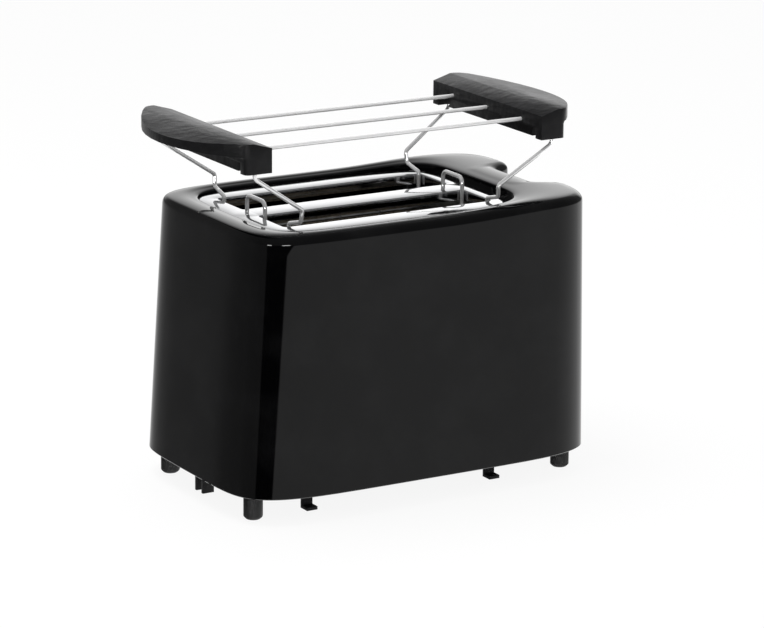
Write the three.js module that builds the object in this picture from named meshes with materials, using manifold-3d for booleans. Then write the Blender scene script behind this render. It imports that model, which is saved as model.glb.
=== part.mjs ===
// Two-slice toaster with a lift-off bun rack.
// Millimetres, +Z up. +X points to the control end, -Y to the front, and the floor is z = 0.
import * as THREE from 'three';
import { mergeVertices } from 'three/addons/utils/BufferGeometryUtils.js';
import Module from 'manifold-3d';

const wasm = await Module();
wasm.setup();

// Clearances and cutting
const seatGap = 0.3;
const slideGap = 0.5;
const cutOverrun = 4;

// Casing
const footHeight = 17;
const skirtOverlap = 1;
const casingTop = 172.2;
const plainRimWidth = 17;
const controlLean = 2.9;
const sideLean = 4;
const sideRimWidth = 15.5;
const casingWall = 2.4;
const casingBasePowerShare = 5.6;
const casingTopPowerShare = 6.3;
const rimRadius = 5.5;
const rimInnerReach = 4.5;
const rimInnerDrop = 1.4;
const rimInnerSpread = 9.5;
const rimWallShare = 0.7;
const rimInnerSpreadStart = 20;
const rimInnerSpreadEnd = 66;
const deckRise = 2;
const deckRiseStart = 15;
const deckRiseEnd = 84;
const deckRiseHeight = 52.2;

// Lever bay in the control end
const bayDepth = 14.7;
const bayHalfWidth = 25;
const bayBlend = 14;
const bayFootGap = 2.5;
const bayFootRise = 9;
const bayWindowMargin = 1.6;

// Top plate and bread slots
const plateSink = 2.3;
const plateThickness = 1;
const plateMarginPlain = 13.55;
const plateMarginControl = 8.95;
const plateSideMargin = 18.9;
const platePowerShare = 5.5;
const ledgeShare = 0.45;
const ledgeThickness = 2.2;
const slotCentreX = -9.2;
const slotLength = 141.5;
const slotWidth = 32.3;
const slotBarWidth = 18.6;
const slotCornerRadius = 2;
const slotLipThickness = 0.8;
const slotLipDepth = 6;

// Base
const baseThickness = 2.5;
const footInsetX = 14.8;
const footInsetY = 27.5;
const footRadius = 5.8;
const footChamfer = 1.6;
const spigotRadius = 3;
const spigotLength = 7;
const footBossWall = 2.2;
const footBossHeight = 6;
const hookHalfSpacing = 63;
const hookCentreX = -13.9;
const hookInset = 18.3;
const hookWidth = 7;
const hookThickness = 2;
const hookDrop = 12.3;
const hookToe = 6;
const clipLength = 7.5;
const clipThickness = 2;
const clipHalfSpacing = 4;
const clipDrop = 14;
const clipInset = 6.7;
const screwInsetX = 24.8;
const screwInsetY = 13.5;
const screwRadius = 1.4;
const screwHeadRadius = 3;
const screwHeadHeight = 1.6;
const screwLength = 15;
const screwSlotWidth = 0.8;
const bossRadius = 5.8;
const bossHeight = 26;
const bossRibThickness = 2;
const inletInsetX = 29.8;
const inletInsetY = 36;
const inletRadius = 3.6;
const inletCollarWall = 2.4;
const inletCollarHeight = 5;
const ventCount = 6;
const ventPitch = 8;
const ventWidth = 3.6;
const ventLength = 8.5;
const ventInset = 30.8;

// Crumb tray
const trayEndMargin = 2.75;
const trayCentreX = -9.5;
const trayFrontInset = 22;
const trayWall = 0.8;
const trayHeight = 8;
const trayLipHeight = 11;
const trayLipThickness = 2;
const trayLipInset = 0.1;
const trayLipOverlap = 4;
const trayScoopHalfLength = 24;
const trayScoopRadius = 4;
const trayScoopDepth = 1.1;

// Chassis
const endPlateThickness = 1;
const endPlateGap = 5;
const endPlateSideMargin = 3;
const endPlateDrop = 7.9;
const chassisRise = 11.5;
const cardDrop = 5;
const reflectorThickness = 0.7;
const reflectorGap = 6;
const micaThickness = 1;
const micaSlotGap = 6.4;
const micaInset = 3;
const tabHeight = 16;
const tabSpacing = 70;
const notchPitch = 12;
const notchDepth = 2.4;
const notchWidth = 3;
const ribbonThickness = 0.4;
const ribbonWidth = 1.6;
const ribbonPitch = 12;
const ribbonRows = 8;
const ribbonMargin = 10;
const guardWireRadius = 0.9;
const guardOffset = 1.3;
const guardWires = 6;
const guardRise = 5;
const guardDrop = 1;
const guardRailInset = 6;

// Carriage
const leverTopMargin = 15;
const leverLowRise = 11;
const lifterRise = 5;
const lifterBarWidth = 3;
const lifterBarHeight = 5;
const lifterSideGap = 6.65;
const lifterFingerWidth = 2.4;
const lifterFingerHeight = 2;
const lifterFingers = 7;
const lifterEndGap = 5;
const armSlotWidth = 5;
const slideThickness = 1.6;
const slideOffset = 6;
const slideHalfWidth = 30.5;
const slideWaistHalfWidth = 14;
const slideShoulder = 14;
const guideRodRadius = 2.5;
const guideRodOffset = 8;
const guideEyeWall = 2.4;
const guideEyeHeight = 9;
const guideClearance = 0.4;
const guideTabThickness = 1.2;
const guideTabHalfWidth = 22;
const guideTabReach = 21;
const boardGap = 0.95;
const guideTabDrop = 2.5;
const springRadius = 3;
const springWireRadius = 0.4;
const springCurls = 13;
const springY = 14;
const springOffset = 9;
const earWidth = 8;
const earThickness = 1.6;
const leverArmThickness = 3;
const leverArmHeight = 8;
const leverArmDrop = 3;
const leverArmGusset = 2;
const leverArmGrip = 16;
const leverSlotWidth = 6.6;
const knobGap = 2.8;
const knobLength = 31;
const knobRootHalfWidth = 13;
const knobTipHalfWidth = 17;
const knobRootHeight = 14;
const knobTipHeight = 8;
const knobBevel = 2;
const keeperLength = 15;
const keeperWidth = 16;
const keeperThickness = 2;
const keeperInset = 16.5;
const keeperLatchGap = 0.6;

// Controls
const panelThickness = 2.2;
const panelFootGap = 1;
const panelDrop = 9.2;
const panelCornerRadius = 5;
const dialRise = 18;
const dialRadius = 14;
const dialHeight = 10;
const dialSkirt = 2.4;
const dialSkirtStep = 1.6;
const dialGripHalfWidth = 3;
const dialGripRise = 3;
const dialFlutes = 12;
const dialFluteRadius = 1.2;
const dialShaftRadius = 3;
const dialGrip = 7;
const buttonRise = 21;
const buttonLengthShare = 0.22;
const buttonHalfHeight = 3.1;
const buttonRoundShare = 0.95;
const buttonProud = 2.6;
const buttonTravel = 1.5;
const buttonFlange = 0.9;
const buttonFlangeThickness = 1;
const buttonStemRadius = 1.5;
const boardThickness = 1.6;
const boardOffset = 10.5;
const boardHalfWidth = 27;
const boardRise = 15;
const boardRibWidth = 6;
const boardRibHeight = 9;
const boardRibThickness = 1.8;
const boardRibY = 19;
const potRadius = 8;
const potDepth = 4.6;
const potTerminalWidth = 9;
const potTerminalDrop = 4;
const switchHalfSize = 3;
const switchDepth = 2.2;
const coilRadius = 6.3;
const coilHeight = 18;
const coilFlange = 1.2;
const coilFlangeHeight = 1.4;
const coreRadius = 3.4;
const coreYokeHeight = 3;

// Bun rack
const rackOffset = 1;
const handleOverhang = 20.65;
const handleBarWidth = 17;
const handleLength = 40.6;
const handleSideReach = 1.5;
const handleHeight = 18;
const handleInnerRise = 14.5;
const handleSlope = 12;
const handleCrownOffset = 21.6;
const handleTipRise = 15.3;
const handleTipThickness = 5;
const handleLipRise = 6.5;
const rackHeight = 38.4;
const handleBarInset = 2.6;
const handleBarHalfLength = 48;
const handleBlockLength = 6.6;
const rodRadius = 1.2;
const rodSpacing = 38.8;
const rodRise = 9;
const rodGrip = 6;
const legWireRadius = 1.25;
const legSocketOffset = 9.6;
const legSocketDepth = 5;
const legShoulderDrop = 3.3;
const legKneeOffset = 1.1;
const legKneeSpread = 13.9;
const legKneeRise = 12.2;
const legEndGap = 2.75;
const legSideGap = 1.8;
const legAnkleOffset = 0.6;
const legAnkleSpread = 13.2;
const legAnkleRise = 4.9;
const legShoulderBend = 5;
const legDipDepth = 9.3;
const loopRise = 8.2;
const loopSideGap = 0.5;
const legBendRadius = 2.8;
const legTightBend = 1.7;

// Counts of facets
const ringCornerSteps = 7;
const lipSteps = 5;
const ringSideShare = 0.04;
const roundSteps = 4;
const buttonSteps = 3;
const cylinderSides = 16;
const smallSides = 12;
const wingSteps = 12;
const wireSides = 8;
const thinWireSides = 5;
const bendSteps = 2;
const curlSteps = 8;
const curlSides = 5;

// Places that follow from the sizes above
const baseTop = footHeight + baseThickness;
const casingBottom = footHeight - skirtOverlap;
const slotHalfLength = slotLength / 2;
const plateLeftX = slotCentreX - slotHalfLength - plateMarginPlain;
const plateRightX = slotCentreX + slotHalfLength + plateMarginControl;
const plateCentreX = (plateLeftX + plateRightX) / 2;
const slotCentreY = (slotBarWidth + slotWidth) / 2;
const slotOuterY = slotBarWidth / 2 + slotWidth;
const plateTop = casingTop - plateSink;
const plateUnderside = plateTop - plateThickness;
const plateHalfLength = (plateRightX - plateLeftX) / 2;
const plateHalfWidth = slotOuterY + plateSideMargin;
const ledgeTop = plateUnderside - seatGap;
const ledgeWidth = plateMarginControl * ledgeShare;
const deckRiseFoot = casingTop - deckRiseHeight;
const endPlateLeftX = slotCentreX - slotHalfLength - endPlateGap - endPlateThickness;
const endPlateRightX = slotCentreX + slotHalfLength + endPlateGap;
const guideTabEndX = endPlateRightX + endPlateThickness + guideTabReach;
const boardX = guideTabEndX + boardRibThickness + boardGap;
const boardFaceX = boardX + boardThickness;
const bayFaceX = boardX + boardOffset + casingWall;
const bayFlat = bayHalfWidth - bayBlend / 2;
const bayFoot = baseTop + bayFootGap;
const casingTopHalfLengthPlain = plainRimWidth - plateLeftX;
const casingTopHalfLengthControl = bayFaceX + bayDepth;
const casingBaseHalfLength = casingTopHalfLengthControl + controlLean;
const casingTopHalfWidth = plateHalfWidth + sideRimWidth;
const casingBaseHalfWidth = casingTopHalfWidth + sideLean;
const footHalfSpacingX = casingBaseHalfLength - footInsetX;
const footHalfSpacingY = casingBaseHalfWidth - footInsetY;
const hookLineY = casingBaseHalfWidth - hookInset;
const clipEndX = casingBaseHalfLength - clipInset - clipLength;
const screwX = casingBaseHalfLength - screwInsetX;
const screwY = casingBaseHalfWidth - screwInsetY;
const inletX = casingBaseHalfLength - inletInsetX;
const inletY = casingBaseHalfWidth - inletInsetY;
const ventX = casingBaseHalfLength - ventInset;
const trayHalfLength = slotHalfLength - trayEndMargin;
const trayFrontY = casingBaseHalfWidth - trayFrontInset;
const endPlateTop = plateUnderside - endPlateDrop;
const chassisStartX = endPlateLeftX + endPlateThickness + seatGap;
const chassisEndX = endPlateRightX - seatGap;
const chassisLength = chassisEndX - chassisStartX;
const chassisBottom = baseTop + chassisRise;
const chassisCardTop = endPlateTop - cardDrop;
const micaOuterY = slotOuterY + micaSlotGap;
const reflectorY = micaOuterY + reflectorGap;
const endPlateHalfWidth = reflectorY + endPlateSideMargin;
const guardBottom = chassisBottom + guardRise;
const guardTop = chassisCardTop - guardDrop;
const slideX = endPlateRightX + endPlateThickness + slideOffset;
const slideFaceX = slideX + slideThickness;
const guideX = slideFaceX + guideRodOffset;
const springX = slideFaceX + springOffset;
const guideTabTopZ = endPlateTop - guideTabDrop;
const guideTabLowZ = baseTop + guideTabDrop;
const panelX = bayFaceX + seatGap;
const panelFaceX = panelX + panelThickness;
const panelTop = casingTop - panelDrop;
const panelBottom = bayFoot + bayFootRise + panelFootGap;
const panelHalfWidth = bayFlat - seatGap;
const bayWindowTop = panelTop - bayWindowMargin;
const bayWindowBottom = panelBottom + bayWindowMargin;
const bayWindowHalfWidth = panelHalfWidth - bayWindowMargin;
const dialZ = panelBottom + dialRise;
const buttonZ = dialZ + buttonRise;
const buttonHalfLength = panelHalfWidth * buttonLengthShare;
const buttonSpacing = bayWindowHalfWidth - slideGap - buttonFlange - buttonHalfLength;
const leverArmCentreZ = panelTop - leverTopMargin;
const leverTravel = leverArmCentreZ - buttonZ - leverLowRise;
const slideLowZ = guideTabLowZ + guideTabThickness + slideGap + leverTravel;
const slideBottom = slideLowZ + slideShoulder / 2;
const slideHeight = leverArmCentreZ + leverArmDrop - slideBottom;
const lifterTop = slideBottom + lifterRise;
const lifterFingerReach = slotWidth / 2 - lifterSideGap;
const boardTop = buttonZ + boardRise;
const knobX = panelFaceX + knobGap;
const keeperY = keeperInset - slideHalfWidth;
const latchZ = slideBottom + slideHeight / 2;
const keeperRestZ = latchZ;
const magnetTopZ = keeperRestZ - leverTravel - keeperLatchGap;
const rackCentreX = slotCentreX + rackOffset;
const handleInnerX = slotHalfLength + handleOverhang;
const handleHalfLength = plateHalfWidth + handleSideReach;
const handleCornerX = handleInnerX + handleBarWidth;
const handleCrownX = handleInnerX + handleCrownOffset;
const handleReach = handleInnerX + handleLength;
const handleBottom = plateTop + rackHeight;
const handleLipBottom = handleBottom + handleLipRise;
const handleTipTop = handleBottom + handleTipRise;
const handleTipBottom = handleTipTop - handleTipThickness;
const handleInnerTop = handleBottom + handleInnerRise;
const handleTop = handleBottom + handleHeight;
const rodZ = handleBottom + rodRise;
const legSocketX = handleInnerX + legSocketOffset;
const legShoulderZ = handleBottom - legShoulderDrop;
const legDropX = slotHalfLength - legEndGap;
const legKneeX = legDropX - legKneeOffset;
const legAnkleX = legDropX - legAnkleOffset;
const legDropY = slotOuterY - legSideGap;
const legKneeY = legDropY + legKneeSpread;
const legAnkleY = legDropY + legAnkleSpread;
const legKneeZ = plateTop + legKneeRise;
const legAnkleZ = plateTop + legAnkleRise;
const legDip = plateTop - legDipDepth;
const loopTop = plateTop + loopRise;

const finishes = {
  glossBlack: { color: 0x101114, roughness: 0.18, metalness: 0 },
  mattBlack: { color: 0x1b1b1d, roughness: 0.5, metalness: 0 },
  rubber: { color: 0x161617, roughness: 0.8, metalness: 0 },
  chrome: { color: 0xd9dbde, roughness: 0.08, metalness: 1 },
  sheetSteel: { color: 0x9fa2a5, roughness: 0.35, metalness: 1 },
  mica: { color: 0x8d8577, roughness: 0.7, metalness: 0 },
  ribbon: { color: 0x6f6a62, roughness: 0.5, metalness: 1 },
  copper: { color: 0xa85f33, roughness: 0.4, metalness: 1 },
  board: { color: 0x8a6a3c, roughness: 0.6, metalness: 0 },
  greyPlastic: { color: 0x8c8f92, roughness: 0.45, metalness: 0 },
};

const toaster = new THREE.Group();

function addPiece(name, geometry, finish) {
  const material = new THREE.MeshStandardMaterial(finishes[finish]);
  const mesh = new THREE.Mesh(geometry, material);
  mesh.name = name;
  toaster.add(mesh);
  return mesh;
}

// Solids in and out of the boolean library
function solid(geometry) {
  const bare = geometry.clone();
  bare.deleteAttribute('normal');
  bare.deleteAttribute('uv');
  const merged = mergeVertices(bare);
  const mesh = new wasm.Mesh({
    numProp: 3,
    vertProperties: new Float32Array(merged.attributes.position.array),
    triVerts: new Uint32Array(merged.index.array),
  });
  return new wasm.Manifold(mesh);
}

function geometryOf(manifold) {
  const mesh = manifold.getMesh();
  const geometry = new THREE.BufferGeometry();
  geometry.setAttribute('position', new THREE.BufferAttribute(new Float32Array(mesh.vertProperties), 3));
  geometry.setIndex(new THREE.BufferAttribute(new Uint32Array(mesh.triVerts), 1));
  geometry.computeVertexNormals();
  return geometry;
}

function join(...solids) {
  return solids.reduce((whole, next) => whole.add(next));
}

function cut(whole, ...tools) {
  return tools.reduce((rest, tool) => rest.subtract(tool), whole);
}

// Basic shapes, each given by its own corner or axis
function block(x0, x1, y0, y1, z0, z1) {
  const geometry = new THREE.BoxGeometry(x1 - x0, y1 - y0, z1 - z0);
  geometry.translate((x0 + x1) / 2, (y0 + y1) / 2, (z0 + z1) / 2);
  return solid(geometry);
}

function upright(radius, x, y, z0, z1, sides = cylinderSides) {
  const geometry = new THREE.CylinderGeometry(radius, radius, z1 - z0, sides);
  geometry.rotateX(Math.PI / 2);
  geometry.translate(x, y, (z0 + z1) / 2);
  return solid(geometry);
}

function lying(radius, y, z, x0, x1, sides = cylinderSides) {
  const geometry = new THREE.CylinderGeometry(radius, radius, x1 - x0, sides);
  geometry.rotateZ(Math.PI / 2);
  geometry.translate((x0 + x1) / 2, y, z);
  return solid(geometry);
}

// A flat shape in (y, z) pushed along +X, and one in (x, z) pushed along +Y
function pushAlongX(shape, x0, x1) {
  const geometry = new THREE.ExtrudeGeometry(shape, { depth: x1 - x0, bevelEnabled: false });
  geometry.applyMatrix4(new THREE.Matrix4().set(0, 0, 1, x0, 1, 0, 0, 0, 0, 1, 0, 0, 0, 0, 0, 1));
  return solid(geometry);
}

function pushAlongY(shape, y0, y1) {
  const geometry = new THREE.ExtrudeGeometry(shape, { depth: y1 - y0, bevelEnabled: false });
  geometry.applyMatrix4(new THREE.Matrix4().set(1, 0, 0, 0, 0, 0, -1, y1, 0, 1, 0, 0, 0, 0, 0, 1));
  return solid(geometry);
}

function pushUp(shape, z0, z1) {
  const geometry = new THREE.ExtrudeGeometry(shape, { depth: z1 - z0, bevelEnabled: false });
  geometry.translate(0, 0, z0);
  return solid(geometry);
}

function roundedShape(u0, u1, v0, v1, radius, steps = roundSteps) {
  const shape = new THREE.Shape();
  shape.moveTo(u0 + radius, v0);
  shape.lineTo(u1 - radius, v0);
  shape.absarc(u1 - radius, v0 + radius, radius, -Math.PI / 2, 0);
  shape.lineTo(u1, v1 - radius);
  shape.absarc(u1 - radius, v1 - radius, radius, 0, Math.PI / 2);
  shape.lineTo(u0 + radius, v1);
  shape.absarc(u0 + radius, v1 - radius, radius, Math.PI / 2, Math.PI);
  shape.lineTo(u0, v0 + radius);
  shape.absarc(u0 + radius, v0 + radius, radius, Math.PI, Math.PI * 3 / 2);
  return new THREE.Shape(shape.getPoints(steps));
}

function polygon(points) {
  return new THREE.Shape(points.map(([u, v]) => new THREE.Vector2(u, v)));
}

// A path that goes through its own stations one by one, so that a swept wire has a section at each
class StationPath extends THREE.Curve {
  constructor(stations) {
    super();
    this.stations = stations;
  }

  getPoint(share, target = new THREE.Vector3()) {
    const place = Math.min(Math.max(share, 0), 1) * (this.stations.length - 1);
    const index = Math.min(Math.floor(place + 1e-6), this.stations.length - 2);
    return target.copy(this.stations[index]).lerp(this.stations[index + 1], place - index);
  }

  getPointAt(share, target) {
    return this.getPoint(share, target);
  }

  getTangentAt(share, target = new THREE.Vector3()) {
    const index = Math.round(share * (this.stations.length - 1));
    const before = this.stations[Math.max(index - 1, 0)];
    const here = this.stations[index];
    const after = this.stations[Math.min(index + 1, this.stations.length - 1)];
    const arriving = here.clone().sub(before).normalize();
    const leaving = after.clone().sub(here).normalize();
    return target.copy(arriving).add(leaving).normalize();
  }

  getTangent(share, target) {
    return this.getTangentAt(share, target);
  }
}

function sweep(stations, radius, sides) {
  const section = new THREE.Shape();
  for (let i = 0; i < sides; i += 1) {
    const angle = i / sides * Math.PI * 2;
    const point = [radius * Math.cos(angle), radius * Math.sin(angle)];
    if (i === 0) section.moveTo(...point);
    else section.lineTo(...point);
  }
  return new THREE.ExtrudeGeometry(section, {
    steps: stations.length - 1,
    extrudePath: new StationPath(stations),
    curveSegments: 1,
  });
}

// Corner points become bends of a given radius
function bentPath(corners) {
  const stations = [corners[0].at];
  for (let i = 1; i < corners.length - 1; i += 1) {
    const { at, bend } = corners[i];
    const back = corners[i - 1].at.clone().sub(at).normalize();
    const ahead = corners[i + 1].at.clone().sub(at).normalize();
    const half = back.angleTo(ahead) / 2;
    const reach = bend / Math.tan(half);
    const centre = back.clone().add(ahead).normalize().multiplyScalar(bend / Math.sin(half)).add(at);
    const start = at.clone().addScaledVector(back, reach).sub(centre);
    const end = at.clone().addScaledVector(ahead, reach).sub(centre);
    const turn = start.angleTo(end);
    for (let k = 0; k <= bendSteps; k += 1) {
      const share = k / bendSteps;
      const point = start.clone().multiplyScalar(Math.sin((1 - share) * turn) / Math.sin(turn));
      point.addScaledVector(end, Math.sin(share * turn) / Math.sin(turn));
      stations.push(point.add(centre));
    }
  }
  stations.push(corners[corners.length - 1].at);
  return stations;
}

// Rings of the casing: a bowed rectangle whose control end is drawn in to the lever bay
function smooth(share) {
  const s = Math.min(Math.max(share, 0), 1);
  return s * s * (3 - 2 * s);
}

// Stations round the outline. One at the lever bay keeps its distance from the middle line; the others
// keep their share of the half width on the end faces and of the half length on the sides
function turnedStation(turn) {
  const along = (casingBaseHalfLength * Math.cos(turn)) ** (1 / (casingBasePowerShare - 1));
  const across = (casingBaseHalfWidth * Math.sin(turn)) ** (1 / (casingBasePowerShare - 1));
  const scale = (along ** casingBasePowerShare + across ** casingBasePowerShare) ** (-1 / casingBasePowerShare);
  return { share: Math.min(along, across) * scale, onSide: along < across };
}

function bayStation(place) {
  return { place, share: place / casingTopHalfWidth, onSide: false };
}

function outlineStations() {
  const quarter = [bayStation(0), bayStation(bayFlat / 2)];
  for (let k = 0; k <= lipSteps; k += 1) quarter.push(bayStation(bayFlat + bayBlend * k / lipSteps));
  for (let k = 1; k <= ringCornerSteps; k += 1) quarter.push(turnedStation(k / (ringCornerSteps + 1) * Math.PI / 2));
  quarter.push(turnedStation((1 - ringSideShare) * Math.PI / 2), { share: 0, onSide: true });
  const turned = (list, towardX, towardY) => list.map((station) => ({ ...station, towardX, towardY }));
  return [...turned(quarter, 1, 1), ...turned(quarter.slice(0, -1).reverse(), -1, 1),
    ...turned(quarter.slice(1), -1, -1), ...turned(quarter.slice(1, -1).reverse(), 1, -1)];
}

const around = outlineStations();
const sideStation = around.length / 4;

function bowed(station, share, halfLength, halfWidth, power) {
  const rest = (1 - share ** power) ** (1 / power);
  const along = station.onSide ? share : rest;
  const across = station.onSide ? rest : share;
  return [station.towardX * halfLength * along, station.towardY * halfWidth * across];
}

function heightShare(z) {
  return (z - casingBottom) / (casingTop - casingBottom);
}

function deckLift(x, z) {
  const foot = smooth((z - deckRiseFoot) / (casingTop - deckRiseFoot));
  return deckRise * smooth((x - deckRiseStart) / (deckRiseEnd - deckRiseStart)) * foot;
}

function casingRing(z, inset) {
  const rise = heightShare(z);
  const plain = THREE.MathUtils.lerp(casingBaseHalfLength, casingTopHalfLengthPlain, rise);
  const control = THREE.MathUtils.lerp(casingBaseHalfLength, casingTopHalfLengthControl, rise);
  const halfWidth = THREE.MathUtils.lerp(casingBaseHalfWidth, casingTopHalfWidth, rise);
  const power = THREE.MathUtils.lerp(casingBasePowerShare, casingTopPowerShare, rise);
  const bayShare = smooth((z - bayFoot) / bayFootRise);
  return around.map((station) => {
    const halfLength = station.towardX > 0 ? control : plain;
    const share = 'place' in station ? station.place / (halfWidth - inset) : station.share;
    const [x, y] = bowed(station, share, halfLength - inset, halfWidth - inset, power);
    const flank = bayHalfWidth + inset + bayBlend / 2 - Math.abs(y);
    const drawn = x > 0 ? bayShare * smooth(flank / bayBlend) : 0;
    const drawnX = THREE.MathUtils.lerp(x, Math.min(x, bayFaceX - inset), drawn);
    return new THREE.Vector3(drawnX, y, z + deckLift(drawnX, z));
  });
}

function plateRing(z, growth, lifted, spread = 0) {
  return around.map((station) => {
    const [x, y] = bowed(station, station.share, plateHalfLength + growth, plateHalfWidth + growth, platePowerShare);
    const towardControl = smooth((x - rimInnerSpreadStart) / (rimInnerSpreadEnd - rimInnerSpreadStart));
    const placed = plateCentreX + x + spread * towardControl;
    return new THREE.Vector3(placed, y, lifted ? z + deckLift(placed, z) : z);
  });
}

function blendRings(from, to, share) {
  return from.map((point, i) => {
    const mixed = point.clone().lerp(to[i], share);
    const flat = casingTop;
    mixed.z = flat + deckLift(mixed.x, flat);
    return mixed;
  });
}

// Rings joined in order; the last joins the first when the skin closes on itself
function skin(rings, closed) {
  const count = rings[0].length;
  const positions = rings.flatMap((ring) => ring.flatMap((point) => point.toArray()));
  const index = [];
  const last = closed ? rings.length : rings.length - 1;
  for (let i = 0; i < last; i += 1) {
    const low = i * count;
    const high = (i + 1) % rings.length * count;
    for (let j = 0; j < count; j += 1) {
      const k = (j + 1) % count;
      index.push(low + j, low + k, high + k, low + j, high + k, high + j);
    }
  }
  if (!closed) {
    const outline = rings[0].map((point) => new THREE.Vector2(point.x, point.y));
    const top = (rings.length - 1) * count;
    for (const [a, b, c] of THREE.ShapeUtils.triangulateShape(outline, [])) {
      index.push(c, b, a, top + a, top + b, top + c);
    }
  }
  const geometry = new THREE.BufferGeometry();
  geometry.setAttribute('position', new THREE.BufferAttribute(new Float32Array(positions), 3));
  geometry.setIndex(index);
  return solid(geometry);
}

function trayMouth() {
  const reach = trayHalfLength + slideGap;
  return block(trayCentreX - reach, trayCentreX + reach, trayFrontY, casingBaseHalfWidth + cutOverrun,
    casingBottom - cutOverrun, baseTop + trayLipHeight + slideGap);
}

function screwPlaces() {
  const places = [];
  for (const x of [-screwX, screwX]) {
    for (const y of [-screwY, screwY]) places.push([x, y]);
  }
  return places;
}

function outerShell() {
  const shoulder = casingTop - rimRadius;
  const rings = [casingRing(casingBottom, 0), casingRing(bayFoot, 0)];
  rings.push(casingRing(bayFoot + bayFootRise / 2, 0), casingRing(bayFoot + bayFootRise, 0));
  rings.push(casingRing(deckRiseFoot, 0), casingRing(shoulder, 0));
  for (let k = 1; k <= roundSteps; k += 1) {
    const turn = k / roundSteps * Math.PI / 2;
    rings.push(casingRing(shoulder + rimRadius * Math.sin(turn), rimRadius * (1 - Math.cos(turn))));
  }
  const crest = rings[rings.length - 1];
  const rim = plateRing(casingTop, rimInnerReach, true, rimInnerSpread);
  rings.push(blendRings(crest, rim, 1 / 3), blendRings(crest, rim, 2 / 3), rim);
  for (let k = 1; k <= 2; k += 1) {
    const turn = k / 2 * Math.PI / 2;
    rings.push(plateRing(casingTop - rimInnerDrop * (1 - Math.cos(turn)),
      rimInnerReach * (1 - Math.sin(turn)) + slideGap + seatGap, true, rimInnerSpread * rimWallShare));
  }
  rings.push(plateRing(plateTop, slideGap + seatGap, false, rimInnerSpread * rimWallShare));
  rings.push(plateRing(plateUnderside, slideGap, false), plateRing(ledgeTop, slideGap, false));
  rings.push(plateRing(ledgeTop, -ledgeWidth, false));
  rings.push(plateRing(ledgeTop - ledgeThickness, -ledgeWidth, false));
  rings.push(plateRing(ledgeTop - ledgeThickness, casingWall, false));
  rings.push(plateRing(casingTop - casingWall, rimInnerReach, true, rimInnerSpread));
  rings.push(casingRing(casingTop - casingWall, rimRadius), casingRing(shoulder, casingWall));
  rings.push(casingRing(bayFoot + bayFootRise, casingWall), casingRing(bayFoot, casingWall));
  rings.push(casingRing(casingBottom, casingWall));
  const window = block(bayFaceX - 2 * casingWall, bayFaceX + casingWall,
    -bayWindowHalfWidth, bayWindowHalfWidth, bayWindowBottom, bayWindowTop);
  const bosses = screwPlaces().flatMap(([x, y]) => [
    upright(bossRadius, x, y, baseTop + seatGap, baseTop + bossHeight, smallSides),
    block(x - bossRibThickness / 2, x + bossRibThickness / 2, Math.min(y, Math.sign(y) * casingBaseHalfWidth),
      Math.max(y, Math.sign(y) * casingBaseHalfWidth), baseTop + seatGap, baseTop + bossHeight),
  ]);
  const inside = skin([casingRing(casingBottom, casingWall / 2), casingRing(bayFoot, casingWall / 2),
    casingRing(bayFoot + bayFootRise, casingWall / 2), casingRing(deckRiseFoot, casingWall / 2)], false);
  const pillars = join(...bosses).intersect(inside);
  const holes = screwPlaces().map(([x, y]) => upright(screwRadius + seatGap, x, y,
    baseTop - cutOverrun, footHeight + screwLength + seatGap, smallSides));
  return cut(join(skin(rings, true), pillars), window, trayMouth(), ...holes);
}

function slotShape(side, growth) {
  const y = side * slotCentreY;
  const halfLength = slotHalfLength + growth;
  const halfWidth = slotWidth / 2 + growth;
  return roundedShape(slotCentreX - halfLength, slotCentreX + halfLength, y - halfWidth, y + halfWidth,
    slotCornerRadius + growth);
}

function slotPlate() {
  let plate = skin([plateRing(plateUnderside, 0, false), plateRing(plateTop, 0, false)], false);
  for (const side of [-1, 1]) {
    plate = plate.add(pushUp(slotShape(side, slotLipThickness), plateTop - slotLipDepth, plateTop));
    plate = plate.subtract(pushUp(slotShape(side, 0), plateTop - slotLipDepth - cutOverrun, plateTop + cutOverrun));
  }
  return plate;
}

function hook(x, side) {
  const web = hookThickness;
  const shape = polygon([[0, 0], [web, 0], [web, -hookDrop + web], [web + hookToe, -hookDrop + web],
    [web + hookToe, -hookDrop], [0, -hookDrop]].map(([y, z]) => [side * (hookLineY + y), footHeight + seatGap + z]));
  return pushAlongX(side > 0 ? shape : new THREE.Shape(shape.getPoints().reverse()),
    x - hookWidth / 2, x + hookWidth / 2);
}

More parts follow.
